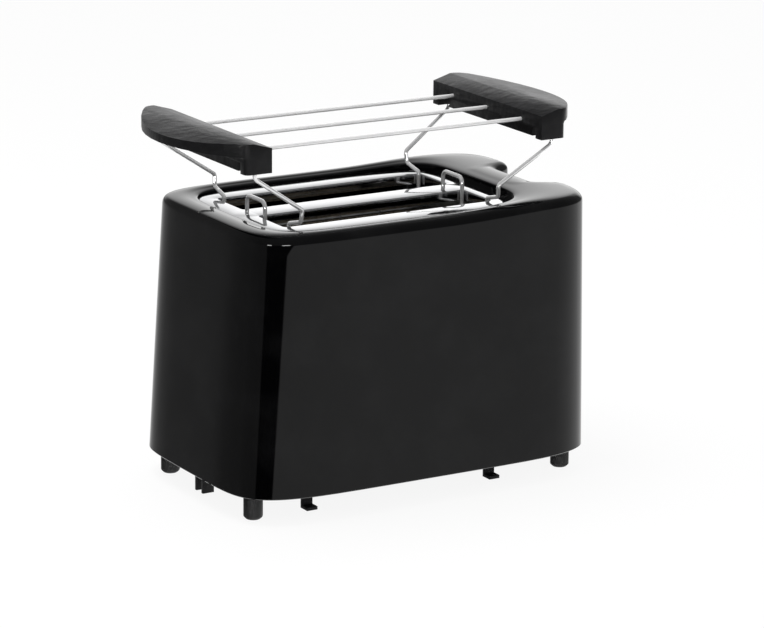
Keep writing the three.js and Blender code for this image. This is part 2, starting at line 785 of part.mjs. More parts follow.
function basePlate() {
  const low = casingRing(footHeight, casingWall + slideGap);
  const outline = low.map((point) => new THREE.Vector3(point.x, point.y, footHeight));
  const lid = low.map((point) => new THREE.Vector3(point.x, point.y, baseTop));
  let base = skin([outline, lid], false);
  for (const x of [-footHalfSpacingX, footHalfSpacingX]) {
    for (const y of [-footHalfSpacingY, footHalfSpacingY]) {
      base = base.add(upright(spigotRadius + seatGap + footBossWall, x, y, footHeight, baseTop + footBossHeight,
        smallSides));
      base = base.subtract(upright(spigotRadius + seatGap, x, y, footHeight - cutOverrun,
        footHeight + spigotLength, smallSides));
    }
  }
  for (const x of [hookCentreX - hookHalfSpacing, hookCentreX + hookHalfSpacing]) {
    base = join(base, hook(x, -1), hook(x, 1));
  }
  for (const y of [-clipHalfSpacing, clipHalfSpacing]) {
    base = base.add(block(-clipEndX - clipLength, -clipEndX, y - clipThickness / 2, y + clipThickness / 2,
      footHeight - clipDrop, footHeight + seatGap));
  }
  for (const y of [-boardRibY, boardRibY]) {
    const ribs = [boardX - seatGap - boardRibThickness, boardFaceX + seatGap];
    for (const x of ribs) {
      base = base.add(block(x, x + boardRibThickness, y - boardRibWidth / 2, y + boardRibWidth / 2,
        footHeight + seatGap, baseTop + boardRibHeight));
    }
  }
  base = base.add(upright(inletRadius + inletCollarWall, inletX, inletY, footHeight, baseTop + inletCollarHeight));
  const bores = [upright(inletRadius, inletX, inletY, footHeight - cutOverrun,
    baseTop + inletCollarHeight + cutOverrun)];
  for (const [x, y] of screwPlaces()) {
    bores.push(upright(screwRadius + seatGap, x, y, footHeight - cutOverrun, baseTop + cutOverrun, smallSides));
  }
  for (let k = 0; k < ventCount; k += 1) {
    const y = (k - (ventCount - 1) / 2) * ventPitch;
    bores.push(block(-ventX - ventLength / 2, -ventX + ventLength / 2, y - ventWidth / 2, y + ventWidth / 2,
      footHeight - cutOverrun, baseTop + cutOverrun));
  }
  return cut(base, ...bores);
}

function foot() {
  const profile = [[0, 0], [footRadius - footChamfer, 0], [footRadius, footChamfer], [footRadius, footHeight - seatGap],
    [spigotRadius, footHeight - seatGap], [spigotRadius, footHeight + spigotLength - seatGap - footChamfer],
    [0, footHeight + spigotLength - seatGap - footChamfer]];
  const geometry = new THREE.LatheGeometry(profile.map(([r, z]) => new THREE.Vector2(r, z)), cylinderSides);
  geometry.rotateX(Math.PI / 2);
  return geometryOf(solid(geometry));
}

function baseScrew() {
  const head = upright(screwHeadRadius, 0, 0, footHeight - seatGap - screwHeadHeight, footHeight - seatGap,
    smallSides);
  const shank = upright(screwRadius, 0, 0, footHeight - screwHeadHeight, footHeight + screwLength, smallSides);
  const slot = block(-screwHeadRadius, screwHeadRadius, -screwSlotWidth / 2, screwSlotWidth / 2,
    footHeight - cutOverrun, footHeight - seatGap - screwHeadHeight / 2);
  return geometryOf(cut(join(head, shank), slot));
}

function crumbTray() {
  const x0 = trayCentreX - trayHalfLength;
  const x1 = trayCentreX + trayHalfLength;
  const z0 = baseTop + seatGap;
  const rear = casingRing(z0, casingWall)[sideStation].y;
  const pan = block(x0 + slideGap, x1 - slideGap, -trayFrontY, rear, z0, z0 + trayHeight);
  const hollow = block(x0 + slideGap + trayWall, x1 - slideGap - trayWall, -trayFrontY + trayWall, rear - trayWall,
    z0 + trayWall, z0 + trayHeight + cutOverrun);
  const outer = skin([casingRing(casingBottom, trayLipInset), casingRing(bayFoot, trayLipInset),
    casingRing(deckRiseFoot, trayLipInset)], false);
  const inner = skin([casingRing(casingBottom - cutOverrun, trayLipInset + trayLipThickness),
    casingRing(bayFoot, trayLipInset + trayLipThickness),
    casingRing(deckRiseFoot, trayLipInset + trayLipThickness)], false);
  const front = block(x0, x1, trayFrontY, casingBaseHalfWidth + cutOverrun, z0 - baseThickness,
    baseTop + trayLipHeight);
  const lip = cut(front.intersect(outer), inner);
  const outside = casingRing(z0, trayLipInset)[sideStation].y;
  const scoop = lying(trayScoopRadius, outside + trayScoopRadius - trayScoopDepth, z0 + trayLipHeight / 2,
    trayCentreX - trayScoopHalfLength, trayCentreX + trayScoopHalfLength, smallSides);
  const joined = block(x0 + slideGap, x1 - slideGap, rear - trayLipOverlap, rear + trayLipThickness / 2, z0,
    z0 + trayHeight);
  return cut(join(pan, joined.intersect(outer), lip), hollow, scoop);
}

function endPlate(x, right) {
  let plate = block(x, x + endPlateThickness, -endPlateHalfWidth, endPlateHalfWidth, baseTop + seatGap, endPlateTop);
  const cuts = [];
  for (const y of [-micaOuterY, 0, micaOuterY]) {
    for (const z of [-tabSpacing / 2, tabSpacing / 2]) {
      const middle = (chassisBottom + chassisCardTop) / 2 + z;
      cuts.push(block(x - cutOverrun, x + cutOverrun + endPlateThickness, y - micaThickness / 2 - seatGap,
        y + micaThickness / 2 + seatGap, middle - tabHeight / 2 - seatGap, middle + tabHeight / 2 + seatGap));
    }
  }
  if (!right) return cut(plate, ...cuts);
  for (const side of [-1, 1]) {
    const y = side * slotCentreY;
    cuts.push(block(x - cutOverrun, x + endPlateThickness + cutOverrun, y - armSlotWidth / 2, y + armSlotWidth / 2,
      lifterTop - lifterBarHeight - lifterFingerHeight - leverTravel - slideGap, lifterTop + slideGap));
  }
  for (const z of [guideTabLowZ, guideTabTopZ]) {
    plate = plate.add(block(x, x + endPlateThickness + guideTabReach, -guideTabHalfWidth, guideTabHalfWidth,
      z, z + guideTabThickness));
    cuts.push(upright(guideRodRadius + seatGap, guideX, 0, z - cutOverrun, z + cutOverrun));
  }
  return cut(plate, ...cuts);
}

function reflector(side) {
  const y = side * reflectorY;
  return block(chassisStartX, chassisEndX, y - reflectorThickness / 2, y + reflectorThickness / 2,
    chassisBottom, chassisCardTop);
}

function micaBoard(y) {
  const x0 = chassisStartX + micaInset;
  const x1 = chassisEndX - micaInset;
  const points = [];
  const count = Math.floor((chassisCardTop - chassisBottom - notchPitch) / notchPitch);
  const start = (chassisBottom + chassisCardTop - count * notchPitch) / 2;
  points.push([x0, chassisBottom], [x1, chassisBottom]);
  for (let k = 0; k <= count; k += 1) {
    const z = start + k * notchPitch;
    points.push([x1, z - notchWidth / 2], [x1 - notchDepth, z], [x1, z + notchWidth / 2]);
  }
  points.push([x1, chassisCardTop], [x0, chassisCardTop]);
  for (let k = count; k >= 0; k -= 1) {
    const z = start + k * notchPitch;
    points.push([x0, z + notchWidth / 2], [x0 + notchDepth, z], [x0, z - notchWidth / 2]);
  }
  let board = pushAlongY(polygon(points), y - micaThickness / 2, y + micaThickness / 2);
  for (const offset of [-tabSpacing / 2, tabSpacing / 2]) {
    const middle = (chassisBottom + chassisCardTop) / 2 + offset;
    board = board.add(block(endPlateLeftX, endPlateRightX + endPlateThickness, y - micaThickness / 2,
      y + micaThickness / 2, middle - tabHeight / 2, middle + tabHeight / 2));
  }
  return board;
}

// The heating ribbon goes to and fro across its board in one piece
function ribbonSolid(y) {
  const x0 = chassisStartX + micaInset + ribbonMargin;
  const x1 = chassisEndX - micaInset - ribbonMargin;
  const z0 = (chassisBottom + chassisCardTop - ribbonRows * ribbonPitch) / 2;
  const strips = [];
  for (let k = 0; k <= ribbonRows; k += 1) {
    const z = z0 + k * ribbonPitch;
    strips.push(block(x0, x1, y - ribbonThickness / 2, y + ribbonThickness / 2, z, z + ribbonWidth));
    if (k < ribbonRows) {
      const x = k % 2 === 0 ? x1 - ribbonWidth : x0;
      strips.push(block(x, x + ribbonWidth, y - ribbonThickness / 2, y + ribbonThickness / 2,
        z, z + ribbonPitch + ribbonWidth));
    }
  }
  return join(...strips);
}

function breadGuard(y) {
  const wires = [];
  for (const z of [guardBottom, guardTop - guardRailInset]) {
    wires.push(lying(guardWireRadius, y, z, chassisStartX, chassisEndX, thinWireSides));
  }
  const pitch = (chassisLength - 2 * guardRailInset) / (guardWires - 1);
  for (let k = 0; k < guardWires; k += 1) {
    wires.push(upright(guardWireRadius, chassisStartX + guardRailInset + k * pitch, y,
      guardBottom - guardWireRadius, guardTop, thinWireSides));
  }
  return join(...wires);
}

function breadLifter(side) {
  const y = side * slotCentreY;
  const x0 = slotCentreX - slotHalfLength + lifterEndGap;
  const barTop = lifterTop - lifterFingerHeight / 2;
  let lifter = block(x0, slideX - seatGap, y - lifterBarWidth / 2, y + lifterBarWidth / 2,
    barTop - lifterBarHeight, barTop);
  const pitch = (2 * (slotHalfLength - lifterEndGap) - lifterFingerWidth) / (lifterFingers - 1);
  for (let k = 0; k < lifterFingers; k += 1) {
    const x = x0 + k * pitch;
    lifter = lifter.add(block(x, x + lifterFingerWidth, y - lifterFingerReach, y + lifterFingerReach,
      lifterTop - lifterFingerHeight, lifterTop));
  }
  return lifter;
}

function carriageSlide() {
  const top = slideBottom + slideHeight;
  const shape = polygon([[-slideHalfWidth, slideLowZ], [slideHalfWidth, slideLowZ],
    [slideHalfWidth, slideBottom + slideShoulder],
  [slideWaistHalfWidth, slideBottom + 2 * slideShoulder], [slideWaistHalfWidth, top],
  [-slideWaistHalfWidth, top], [-slideWaistHalfWidth, slideBottom + 2 * slideShoulder],
  [-slideHalfWidth, slideBottom + slideShoulder]]);
  let slide = pushAlongX(shape, slideX, slideFaceX);
  const eyeRadius = guideRodRadius + guideClearance + guideEyeWall;
  const bores = [];
  for (const z of [slideBottom, top - guideEyeHeight]) {
    slide = join(slide, upright(eyeRadius, guideX, 0, z, z + guideEyeHeight),
      block(slideX, guideX + eyeRadius, -guideEyeWall, guideEyeWall, z, z + guideEyeHeight));
    bores.push(upright(guideRodRadius + guideClearance, guideX, 0, z - cutOverrun, z + guideEyeHeight + cutOverrun));
  }
  slide = slide.add(block(slideX, springX + earWidth / 2, springY - earWidth / 2, springY + earWidth / 2,
    slideBottom, slideBottom + earThickness));
  return cut(slide, ...bores);
}

function leverArm() {
  const x0 = guideX + guideRodRadius + guideClearance + guideEyeWall + seatGap;
  const shape = polygon([[x0, leverArmCentreZ - leverArmHeight / 2 - leverArmGusset],
    [x0 + leverArmHeight / 2, leverArmCentreZ - leverArmHeight / 2],
    [knobX + leverArmGrip, leverArmCentreZ - leverArmHeight / 2],
    [knobX + leverArmGrip, leverArmCentreZ + leverArmHeight / 2],
    [x0, leverArmCentreZ + leverArmHeight / 2]]);
  return pushAlongY(shape, -leverArmThickness / 2, leverArmThickness / 2);
}

// The knob is a flared paddle: wide and thin at its tip
function leverKnob() {
  const stations = 6;
  const rings = [];
  for (let i = 0; i <= stations; i += 1) {
    const share = i / stations;
    const ease = smooth(share);
    const end = Math.sin(Math.min(1, (1 - share) * stations / 2) * Math.PI / 2);
    const halfWidth = THREE.MathUtils.lerp(knobRootHalfWidth, knobTipHalfWidth, ease) - knobBevel * (1 - end);
    const halfHeight = THREE.MathUtils.lerp(knobRootHeight, knobTipHeight, ease) / 2 * (end + 1) / 2;
    const x = knobX + knobLength * share;
    const section = roundedShape(-halfWidth, halfWidth, -halfHeight, halfHeight, knobBevel);
    const ring = section.getPoints().slice(0, -1);
    rings.push(ring.map((point) => new THREE.Vector3(point.x, point.y, x)));
  }
  const body = skin(rings, false);
  const geometry = geometryOf(body);
  geometry.applyMatrix4(new THREE.Matrix4().set(0, 0, 1, 0, 1, 0, 0, 0, 0, 1, 0, leverArmCentreZ, 0, 0, 0, 1));
  const socket = block(knobX - cutOverrun, knobX + leverArmGrip + seatGap,
    -leverArmThickness / 2 - seatGap, leverArmThickness / 2 + seatGap,
    leverArmCentreZ - leverArmHeight / 2 - seatGap, leverArmCentreZ + leverArmHeight / 2 + seatGap);
  return cut(solid(geometry), socket);
}

function keeperPlate() {
  const x0 = slideFaceX + seatGap;
  const plate = block(x0, x0 + keeperLength, keeperY - keeperWidth / 2, keeperY + keeperWidth / 2,
    keeperRestZ, keeperRestZ + keeperThickness);
  const upstand = block(x0, x0 + keeperThickness, keeperY - keeperWidth / 2, keeperY + keeperWidth / 2,
    keeperRestZ, keeperRestZ + keeperWidth / 2);
  return join(plate, upstand);
}

function guideRod() {
  return upright(guideRodRadius, guideX, 0, baseTop + seatGap, guideTabTopZ + guideTabThickness + guideTabDrop);
}

function returnSpring() {
  const low = slideBottom + earThickness + seatGap;
  const high = guideTabTopZ - seatGap;
  const turnLow = low + 2 * springWireRadius;
  const turnHigh = high - 2 * springWireRadius;
  const stations = [new THREE.Vector3(springX + springRadius, springY, low)];
  const steps = springCurls * curlSteps;
  for (let i = 0; i <= steps; i += 1) {
    const angle = i / curlSteps * Math.PI * 2;
    stations.push(new THREE.Vector3(springX + springRadius * Math.cos(angle),
      springY + springRadius * Math.sin(angle), THREE.MathUtils.lerp(turnLow, turnHigh, i / steps)));
  }
  stations.push(new THREE.Vector3(springX + springRadius, springY, high));
  let least = Infinity;
  for (let i = 0; i < stations.length; i += 1) {
    for (let j = i + curlSteps / 2; j < stations.length; j += 1) {
      least = Math.min(least, stations[i].distanceTo(stations[j]));
    }
  }
  console.log(`return spring: least gap to itself ${(least - 2 * springWireRadius).toFixed(2)} mm`);
  return solid(sweep(stations, springWireRadius, curlSides));
}

function controlPanel() {
  let panel = pushAlongX(roundedShape(-panelHalfWidth, panelHalfWidth, panelBottom, panelTop, panelCornerRadius),
    panelX, panelFaceX);
  const slotTop = leverArmCentreZ + leverArmHeight / 2 + slideGap;
  const slotBottom = leverArmCentreZ - leverArmHeight / 2 - leverTravel - slideGap;
  const cuts = [block(panelX - cutOverrun, panelFaceX + cutOverrun, -leverSlotWidth / 2, leverSlotWidth / 2,
    slotBottom, slotTop)];
  cuts.push(lying(dialShaftRadius + seatGap, 0, dialZ, panelX - cutOverrun, panelFaceX + cutOverrun));
  for (const y of [-buttonSpacing, 0, buttonSpacing]) {
    cuts.push(pushAlongX(buttonOutline(y, seatGap), panelX - cutOverrun, panelFaceX + cutOverrun));
  }
  return cut(panel, ...cuts);
}

function buttonOutline(y, growth) {
  const halfHeight = buttonHalfHeight + growth;
  const halfLength = buttonHalfLength + growth;
  return roundedShape(y - halfLength, y + halfLength, buttonZ - halfHeight, buttonZ + halfHeight,
    halfHeight * buttonRoundShare, buttonSteps);
}

function button(y) {
  const flangeFace = panelX - seatGap;
  const cap = pushAlongX(buttonOutline(y, 0), flangeFace - buttonFlangeThickness, panelFaceX + buttonProud);
  const flange = pushAlongX(buttonOutline(y, buttonFlange), flangeFace - buttonFlangeThickness, flangeFace);
  const stemEnd = boardFaceX + switchDepth + seatGap + buttonTravel + seatGap;
  const stem = lying(buttonStemRadius, y, buttonZ, stemEnd, flangeFace, wireSides);
  return join(cap, flange, stem);
}

function buttonSwitch(y) {
  return block(boardFaceX + seatGap, boardFaceX + seatGap + switchDepth, y - switchHalfSize, y + switchHalfSize,
    buttonZ - switchHalfSize, buttonZ + switchHalfSize);
}

function browningDial() {
  const x0 = panelFaceX + seatGap;
  const profile = [[0, 0], [dialRadius, 0], [dialRadius, dialSkirt],
    [dialRadius - dialSkirtStep, dialSkirt + dialSkirtStep], [dialRadius - 2 * dialSkirtStep, dialHeight - dialSkirtStep],
    [dialRadius - 3 * dialSkirtStep, dialHeight], [0, dialHeight]];
  const geometry = new THREE.LatheGeometry(profile.map(([r, x]) => new THREE.Vector2(r, x)), 2 * dialFlutes);
  geometry.rotateZ(-Math.PI / 2);
  geometry.translate(x0, 0, dialZ);
  let dial = solid(geometry);
  for (let k = 0; k < dialFlutes; k += 1) {
    const angle = (k + 1 / 2) / dialFlutes * Math.PI * 2;
    const reach = dialRadius - dialSkirtStep;
    dial = dial.subtract(lying(dialFluteRadius, reach * Math.cos(angle), dialZ + reach * Math.sin(angle),
      x0 + dialSkirt, x0 + dialHeight + cutOverrun, thinWireSides));
  }
  const top = dialRadius - 3 * dialSkirtStep;
  dial = dial.add(block(x0 + dialHeight / 2, x0 + dialHeight + dialGripRise, -dialGripHalfWidth / 2,
    dialGripHalfWidth / 2, dialZ - top, dialZ + top));
  return dial.subtract(lying(dialShaftRadius + seatGap, 0, dialZ, x0 - cutOverrun, x0 + dialGrip + seatGap));
}

function dialShaft() {
  return lying(dialShaftRadius, 0, dialZ, boardFaceX + seatGap + potDepth / 2, panelFaceX + seatGap + dialGrip);
}

function potentiometer() {
  const x0 = boardFaceX + seatGap;
  const can = lying(potRadius, 0, dialZ, x0, x0 + potDepth);
  const foot = block(x0, x0 + potDepth / 3, -potTerminalWidth / 2, potTerminalWidth / 2,
    dialZ - potRadius - potTerminalDrop, dialZ);
  const bore = lying(dialShaftRadius + seatGap, 0, dialZ, x0 + potDepth / 2 - seatGap, x0 + potDepth + cutOverrun);
  return cut(join(can, foot), bore);
}

function circuitBoard() {
  const board = block(boardX, boardFaceX, -boardHalfWidth, boardHalfWidth, baseTop + seatGap, boardTop);
  const armLow = leverArmCentreZ - leverArmHeight / 2 - leverArmGusset - leverTravel - slideGap;
  return cut(board, block(boardX - cutOverrun, boardFaceX + cutOverrun, -leverSlotWidth / 2, leverSlotWidth / 2,
    armLow, boardTop + cutOverrun));
}

function coilCentreX() {
  return boardX - seatGap - coilRadius - coilFlange;
}

function magnetCoil() {
  const x = coilCentreX();
  const top = magnetTopZ - seatGap;
  const winding = upright(coilRadius, x, keeperY, top - coilHeight, top);
  const flanges = [top - coilHeight, top - coilFlangeHeight].map((z) => upright(coilRadius + coilFlange, x, keeperY,
    z, z + coilFlangeHeight));
  return cut(join(winding, ...flanges), upright(coreRadius + seatGap, x, keeperY,
    top - coilHeight - cutOverrun, top + cutOverrun));
}

function magnetCore() {
  const x = coilCentreX();
  const low = magnetTopZ - seatGap - coilHeight - seatGap;
  const pole = upright(coreRadius, x, keeperY, low - coreYokeHeight, magnetTopZ);
  const yoke = block(x - coilRadius, boardX - seatGap, keeperY - coilRadius, keeperY + coilRadius,
    low - coreYokeHeight, low);
  return join(pole, yoke);
}

// Bun rack
function rackHandle(side) {
  const section = polygon([[handleInnerX, handleLipBottom], [handleCornerX, handleLipBottom],
    [handleCornerX, handleTipBottom], [handleReach, handleTipBottom], [handleReach, handleTipTop],
    [handleCrownX, handleTop], [handleInnerX + handleSlope, handleTop], [handleInnerX, handleInnerTop]]);
  const bulge = handleReach - handleCornerX;
  const arcRadius = (handleHalfLength ** 2 + bulge ** 2) / (2 * bulge);
  const sweepAngle = Math.asin(handleHalfLength / arcRadius);
  const plan = [[handleInnerX, -handleHalfLength]];
  for (let k = 0; k <= wingSteps; k += 1) {
    const angle = -sweepAngle + 2 * sweepAngle * k / wingSteps;
    plan.push([handleReach - arcRadius + arcRadius * Math.cos(angle), arcRadius * Math.sin(angle)]);
  }
  plan.push([handleInnerX, handleHalfLength]);
  let handle = pushAlongY(section, -handleHalfLength, handleHalfLength)
    .intersect(pushUp(polygon(plan), handleBottom, handleTop + cutOverrun));
  handle = handle.add(block(handleInnerX + handleBarInset, handleCornerX - handleBarInset,
    -handleBarHalfLength, handleBarHalfLength, handleBottom, handleLipBottom + seatGap));
  const cuts = [];
  for (const end of [-1, 1]) {
    const y0 = end * (handleHalfLength - handleBlockLength);
    const y1 = end * handleHalfLength;
    handle = handle.add(block(handleInnerX, handleCornerX, Math.min(y0, y1), Math.max(y0, y1),
      handleBottom, handleLipBottom + seatGap));
    cuts.push(upright(legWireRadius + seatGap, legSocketX, end * (handleHalfLength - handleBlockLength / 2),
      handleBottom - cutOverrun, handleBottom + legSocketDepth + seatGap, wireSides * 2));
  }
  for (const y of [-rodSpacing, 0, rodSpacing]) {
    cuts.push(lying(rodRadius + seatGap, y, rodZ, handleInnerX - cutOverrun, handleInnerX + rodGrip + seatGap,
      wireSides * 2));
  }
  const geometry = geometryOf(cut(handle, ...cuts));
  if (side < 0) geometry.rotateZ(Math.PI);
  return geometry;
}

function rackRod() {
  const reach = handleInnerX + rodGrip;
  return geometryOf(lying(rodRadius, 0, 0, -reach, reach, wireSides));
}

function legFrame(side) {
  const blockY = handleHalfLength - handleBlockLength / 2;
  const rest = plateTop + seatGap + legWireRadius;
  const loopY = slotBarWidth / 2 + loopSideGap + legWireRadius;
  const half = [
    [legSocketX, blockY, handleBottom + legSocketDepth, 0],
    [legSocketX, blockY, legShoulderZ, legShoulderBend],
    [legKneeX, legKneeY, legKneeZ, legBendRadius],
    [legAnkleX, legAnkleY, legAnkleZ, legBendRadius],
    [legDropX, legDropY, rest, legTightBend],
    [legDropX, legDropY, legDip, legTightBend],
    [legDropX, loopY, legDip, legTightBend],
    [legDropX, loopY, loopTop, legBendRadius],
  ];
  const corners = half.map(([x, y, z, bend]) => ({ at: new THREE.Vector3(side * x, -y, z), bend }));
  const mirrored = half.map(([x, y, z, bend]) => ({ at: new THREE.Vector3(side * x, y, z), bend })).reverse();
  return geometryOf(solid(sweep(bentPath([...corners, ...mirrored]), legWireRadius, wireSides)));
}

function addRack() {
  for (const [name, side] of [['left', -1], ['right', 1]]) {
    addPiece(`rack_handle_${name}`, rackHandle(side), 'mattBlack').position.x = rackCentreX;
    addPiece(`leg_frame_${name}`, legFrame(side), 'chrome').position.x = rackCentreX;
  }
  for (const [name, y] of [['front', -rodSpacing], ['centre', 0], ['rear', rodSpacing]]) {
    addPiece(`rod_${name}`, rackRod(), 'chrome').position.set(rackCentreX, y, rodZ);
  }
}

function addCasing() {
  addPiece('outer_shell', geometryOf(outerShell()), 'glossBlack');
  addPiece('slot_plate', geometryOf(slotPlate()), 'chrome');
  addPiece('base_plate', geometryOf(basePlate()), 'mattBlack');
  addPiece('crumb_tray', geometryOf(crumbTray()), 'sheetSteel');
  const corners = { front_left: [-1, -1], front_right: [1, -1], rear_left: [-1, 1], rear_right: [1, 1] };
  for (const [name, [sx, sy]] of Object.entries(corners)) {
    addPiece(`foot_${name}`, foot(), 'rubber').position.set(sx * footHalfSpacingX, sy * footHalfSpacingY, 0);
    addPiece(`base_screw_${name}`, baseScrew(), 'sheetSteel').position.set(sx * screwX, sy * screwY, 0);
  }
}

function addChassis() {
  addPiece('end_plate_left', geometryOf(endPlate(endPlateLeftX, false)), 'sheetSteel');
  addPiece('end_plate_right', geometryOf(endPlate(endPlateRightX, true)), 'sheetSteel');
  const innerGuard = slotBarWidth / 2 + guardOffset;
  const outerGuard = slotBarWidth / 2 + slotWidth - guardOffset;
  const ribbonReach = micaThickness / 2 + seatGap + ribbonThickness / 2;
  for (const [name, side] of [['front', -1], ['rear', 1]]) {
    addPiece(`reflector_${name}`, geometryOf(reflector(side)), 'sheetSteel');
    addPiece(`mica_board_${name}`, geometryOf(micaBoard(side * micaOuterY)), 'mica');
    addPiece(`heating_ribbon_${name}`, geometryOf(ribbonSolid(side * (micaOuterY - ribbonReach))), 'ribbon');
    addPiece(`heating_ribbon_centre_${name}`, geometryOf(ribbonSolid(side * ribbonReach)), 'ribbon');
    addPiece(`bread_guard_${name}_inner`, geometryOf(breadGuard(side * innerGuard)), 'sheetSteel');
    addPiece(`bread_guard_${name}_outer`, geometryOf(breadGuard(side * outerGuard)), 'sheetSteel');
    addPiece(`bread_lifter_${name}`, geometryOf(breadLifter(side)), 'sheetSteel');
  }
  addPiece('mica_board_centre', geometryOf(micaBoard(0)), 'mica');
}

function addCarriage() {
  addPiece('carriage_slide', geometryOf(carriageSlide()), 'sheetSteel');
  addPiece('lever_arm', geometryOf(leverArm()), 'sheetSteel');
  addPiece('lever_knob', geometryOf(leverKnob()), 'glossBlack');
  addPiece('latch_keeper', geometryOf(keeperPlate()), 'sheetSteel');
  addPiece('guide_rod', geometryOf(guideRod()), 'chrome');
  addPiece('return_spring', geometryOf(returnSpring()), 'sheetSteel');
}

function addControls() {
  addPiece('control_panel', geometryOf(controlPanel()), 'glossBlack');
  addPiece('browning_dial', geometryOf(browningDial()), 'mattBlack');
  addPiece('dial_shaft', geometryOf(dialShaft()), 'greyPlastic');
  addPiece('potentiometer', geometryOf(potentiometer()), 'sheetSteel');
  addPiece('circuit_board', geometryOf(circuitBoard()), 'board');
  addPiece('magnet_coil', geometryOf(magnetCoil()), 'copper');
  addPiece('magnet_core', geometryOf(magnetCore()), 'sheetSteel');
  const places = { cancel: 0, reheat: -buttonSpacing, defrost: buttonSpacing };
  for (const [name, y] of Object.entries(places)) {
    addPiece(`button_${name}`, geometryOf(button(y)), 'greyPlastic');
    addPiece(`switch_${name}`, geometryOf(buttonSwitch(y)), 'mattBlack');
  }
}

addCasing();
addRack();
addChassis();
addCarriage();
addControls();

// The origin lies on the floor under the middle of the whole object
const leftmost = rackCentreX - handleReach;
const rightmost = knobX + knobLength;
toaster.position.x = -(leftmost + rightmost) / 2;

export default toaster;
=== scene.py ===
"""A two-slice toaster with a lift-off bun rack, dressed round its CAD frame."""

import math

import bmesh
import bpy
from mathutils import Matrix, Vector


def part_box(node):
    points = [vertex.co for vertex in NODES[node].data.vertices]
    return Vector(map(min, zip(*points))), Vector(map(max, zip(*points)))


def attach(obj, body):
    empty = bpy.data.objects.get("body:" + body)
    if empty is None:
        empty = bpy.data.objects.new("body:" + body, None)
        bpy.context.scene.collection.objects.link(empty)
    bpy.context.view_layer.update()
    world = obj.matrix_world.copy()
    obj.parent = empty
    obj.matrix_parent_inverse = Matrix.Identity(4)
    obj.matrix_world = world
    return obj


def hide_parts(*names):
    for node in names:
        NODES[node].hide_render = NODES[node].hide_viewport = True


bl_info = {
    "name": "Two-slice toaster",
    "version": (1, 0, 0),
    "blender": (4, 5, 0),
    "location": "View3D > Sidebar > Toaster",
    "description": "Builds the visible pieces of a two-slice toaster with a bun rack",
    "category": "Object",
}

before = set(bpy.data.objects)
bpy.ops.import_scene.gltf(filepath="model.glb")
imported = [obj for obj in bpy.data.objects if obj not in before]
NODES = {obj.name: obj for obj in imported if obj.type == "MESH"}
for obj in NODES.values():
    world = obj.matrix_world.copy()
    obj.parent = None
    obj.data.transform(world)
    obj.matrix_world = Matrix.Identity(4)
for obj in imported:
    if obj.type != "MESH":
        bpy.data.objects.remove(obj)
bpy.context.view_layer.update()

MM = 0.001
# Shapes are drawn about the toaster's middle, which lies this far along the frame
ORIGIN_SHIFT = -0.15 * MM
WELD = 0.002 * MM
GRAIN_HEIGHT = 0.1 * MM
WIRE_RESOLUTION = 6

# Numbers of a mix node's colour sockets
COLOUR_A = 6
COLOUR_B = 7
COLOUR_RESULT = 2

# Gain and lift of a finish's second tone, where none is given
TONE_GAIN = 1.25
TONE_LIFT = 0.002

# Angles at which edges show as sharp, get rounded, or count as flat
SHARP_ANGLE = math.radians(32)
CASING_ANGLE = math.radians(40)
ROUND_ANGLE = math.radians(50)
EDGE_ANGLE = math.radians(30)
FLAT_ANGLE = math.radians(0.6)

# The studio in reflections: directions in degrees, heights from -1 straight down to 1 straight up
TABLE_SHARES = (
    (-40.0, "table_front", 1.0), (-10.0, "table_side", 1.0), (60.0, "table_side", 1.0),
    (103.0, "table_back", 1.0), (112.0, "table_back", 0.66), (121.0, "table_left", 0.8),
    (127.0, "table_left", 0.65), (142.0, "table_left", 0.8), (155.0, "table_left", 1.0),
)
BACKDROP_SHARES = ((-0.02, 0.0), (0.08, 1.2), (0.26, 1.0), (0.36, 0.66), (0.5, 0.25), (0.62, 0.0))
BACKDROP_BLUR = 8.0
BACKDROP_FADE = 30.0
BACKDROP_FADE_OUT = 20.0
FLAG_BLUR_LEFT = 2.0
FLAG_BLUR_RIGHT = 1.0
NEAR_HEIGHTS = (-0.75, -0.45)
HORIZON_HEIGHT = -0.1
STRIP_INSET_LEFT = 8.0
STRIP_INSET_RIGHT = 36.0
STRIP_TURNS = (-9.0, -6.0, 6.0, 9.0)
STRIP_HEIGHTS = (-0.06, -0.04, 0.03, 0.05)

# Lamps in metres
KEY_LAMP = {"size": (1.0, 0.7), "place": (-0.25, 0.25, 1.3), "target": (0.0, 0.0, 0.15)}
FILL_LAMP = {"size": (1.2, 0.8), "place": (0.6, -1.7, 0.9), "target": (0.0, 0.0, 0.1)}


def number(name, description, default, **settings):
    return bpy.props.FloatProperty(name=name, description=description, default=default, **settings)


def length(name, description, default_mm):
    """A length whose default is given in millimetres."""
    return number(name, description, default_mm * MM, unit="LENGTH", precision=4)


def lengths(name, description, defaults_mm):
    """Two or three lengths that belong together, given in millimetres."""
    return bpy.props.FloatVectorProperty(
        name=name, description=description, default=[value * MM for value in defaults_mm],
        size=len(defaults_mm), unit="LENGTH", precision=4,
    )


def degrees(name, description, default_degrees):
    """An angle whose default is given in degrees."""
    return number(name, description, math.radians(default_degrees), subtype="ANGLE", precision=3)


def pixels(name, description, default):
    """A length in pixels of the picture that the camera is fitted to."""
    return number(name, description, default, subtype="PIXEL", precision=3)


def watts(name, description, default):
    """The power of a lamp."""
    return number(name, description, default, unit="POWER", precision=3)


def share(name, description, default):
    """A plain number without a unit."""
    return number(name, description, default, precision=3)


def count(name, description, default, subtype="NONE"):
    """A whole number, 1 or more."""
    return bpy.props.IntProperty(name=name, description=description, default=default, min=1, subtype=subtype)


def colour(name, description, default):
    """A linear colour."""
    return bpy.props.FloatVectorProperty(
        name=name, description=description, default=default, subtype="COLOR", size=3, min=0.0, max=1.0
    )


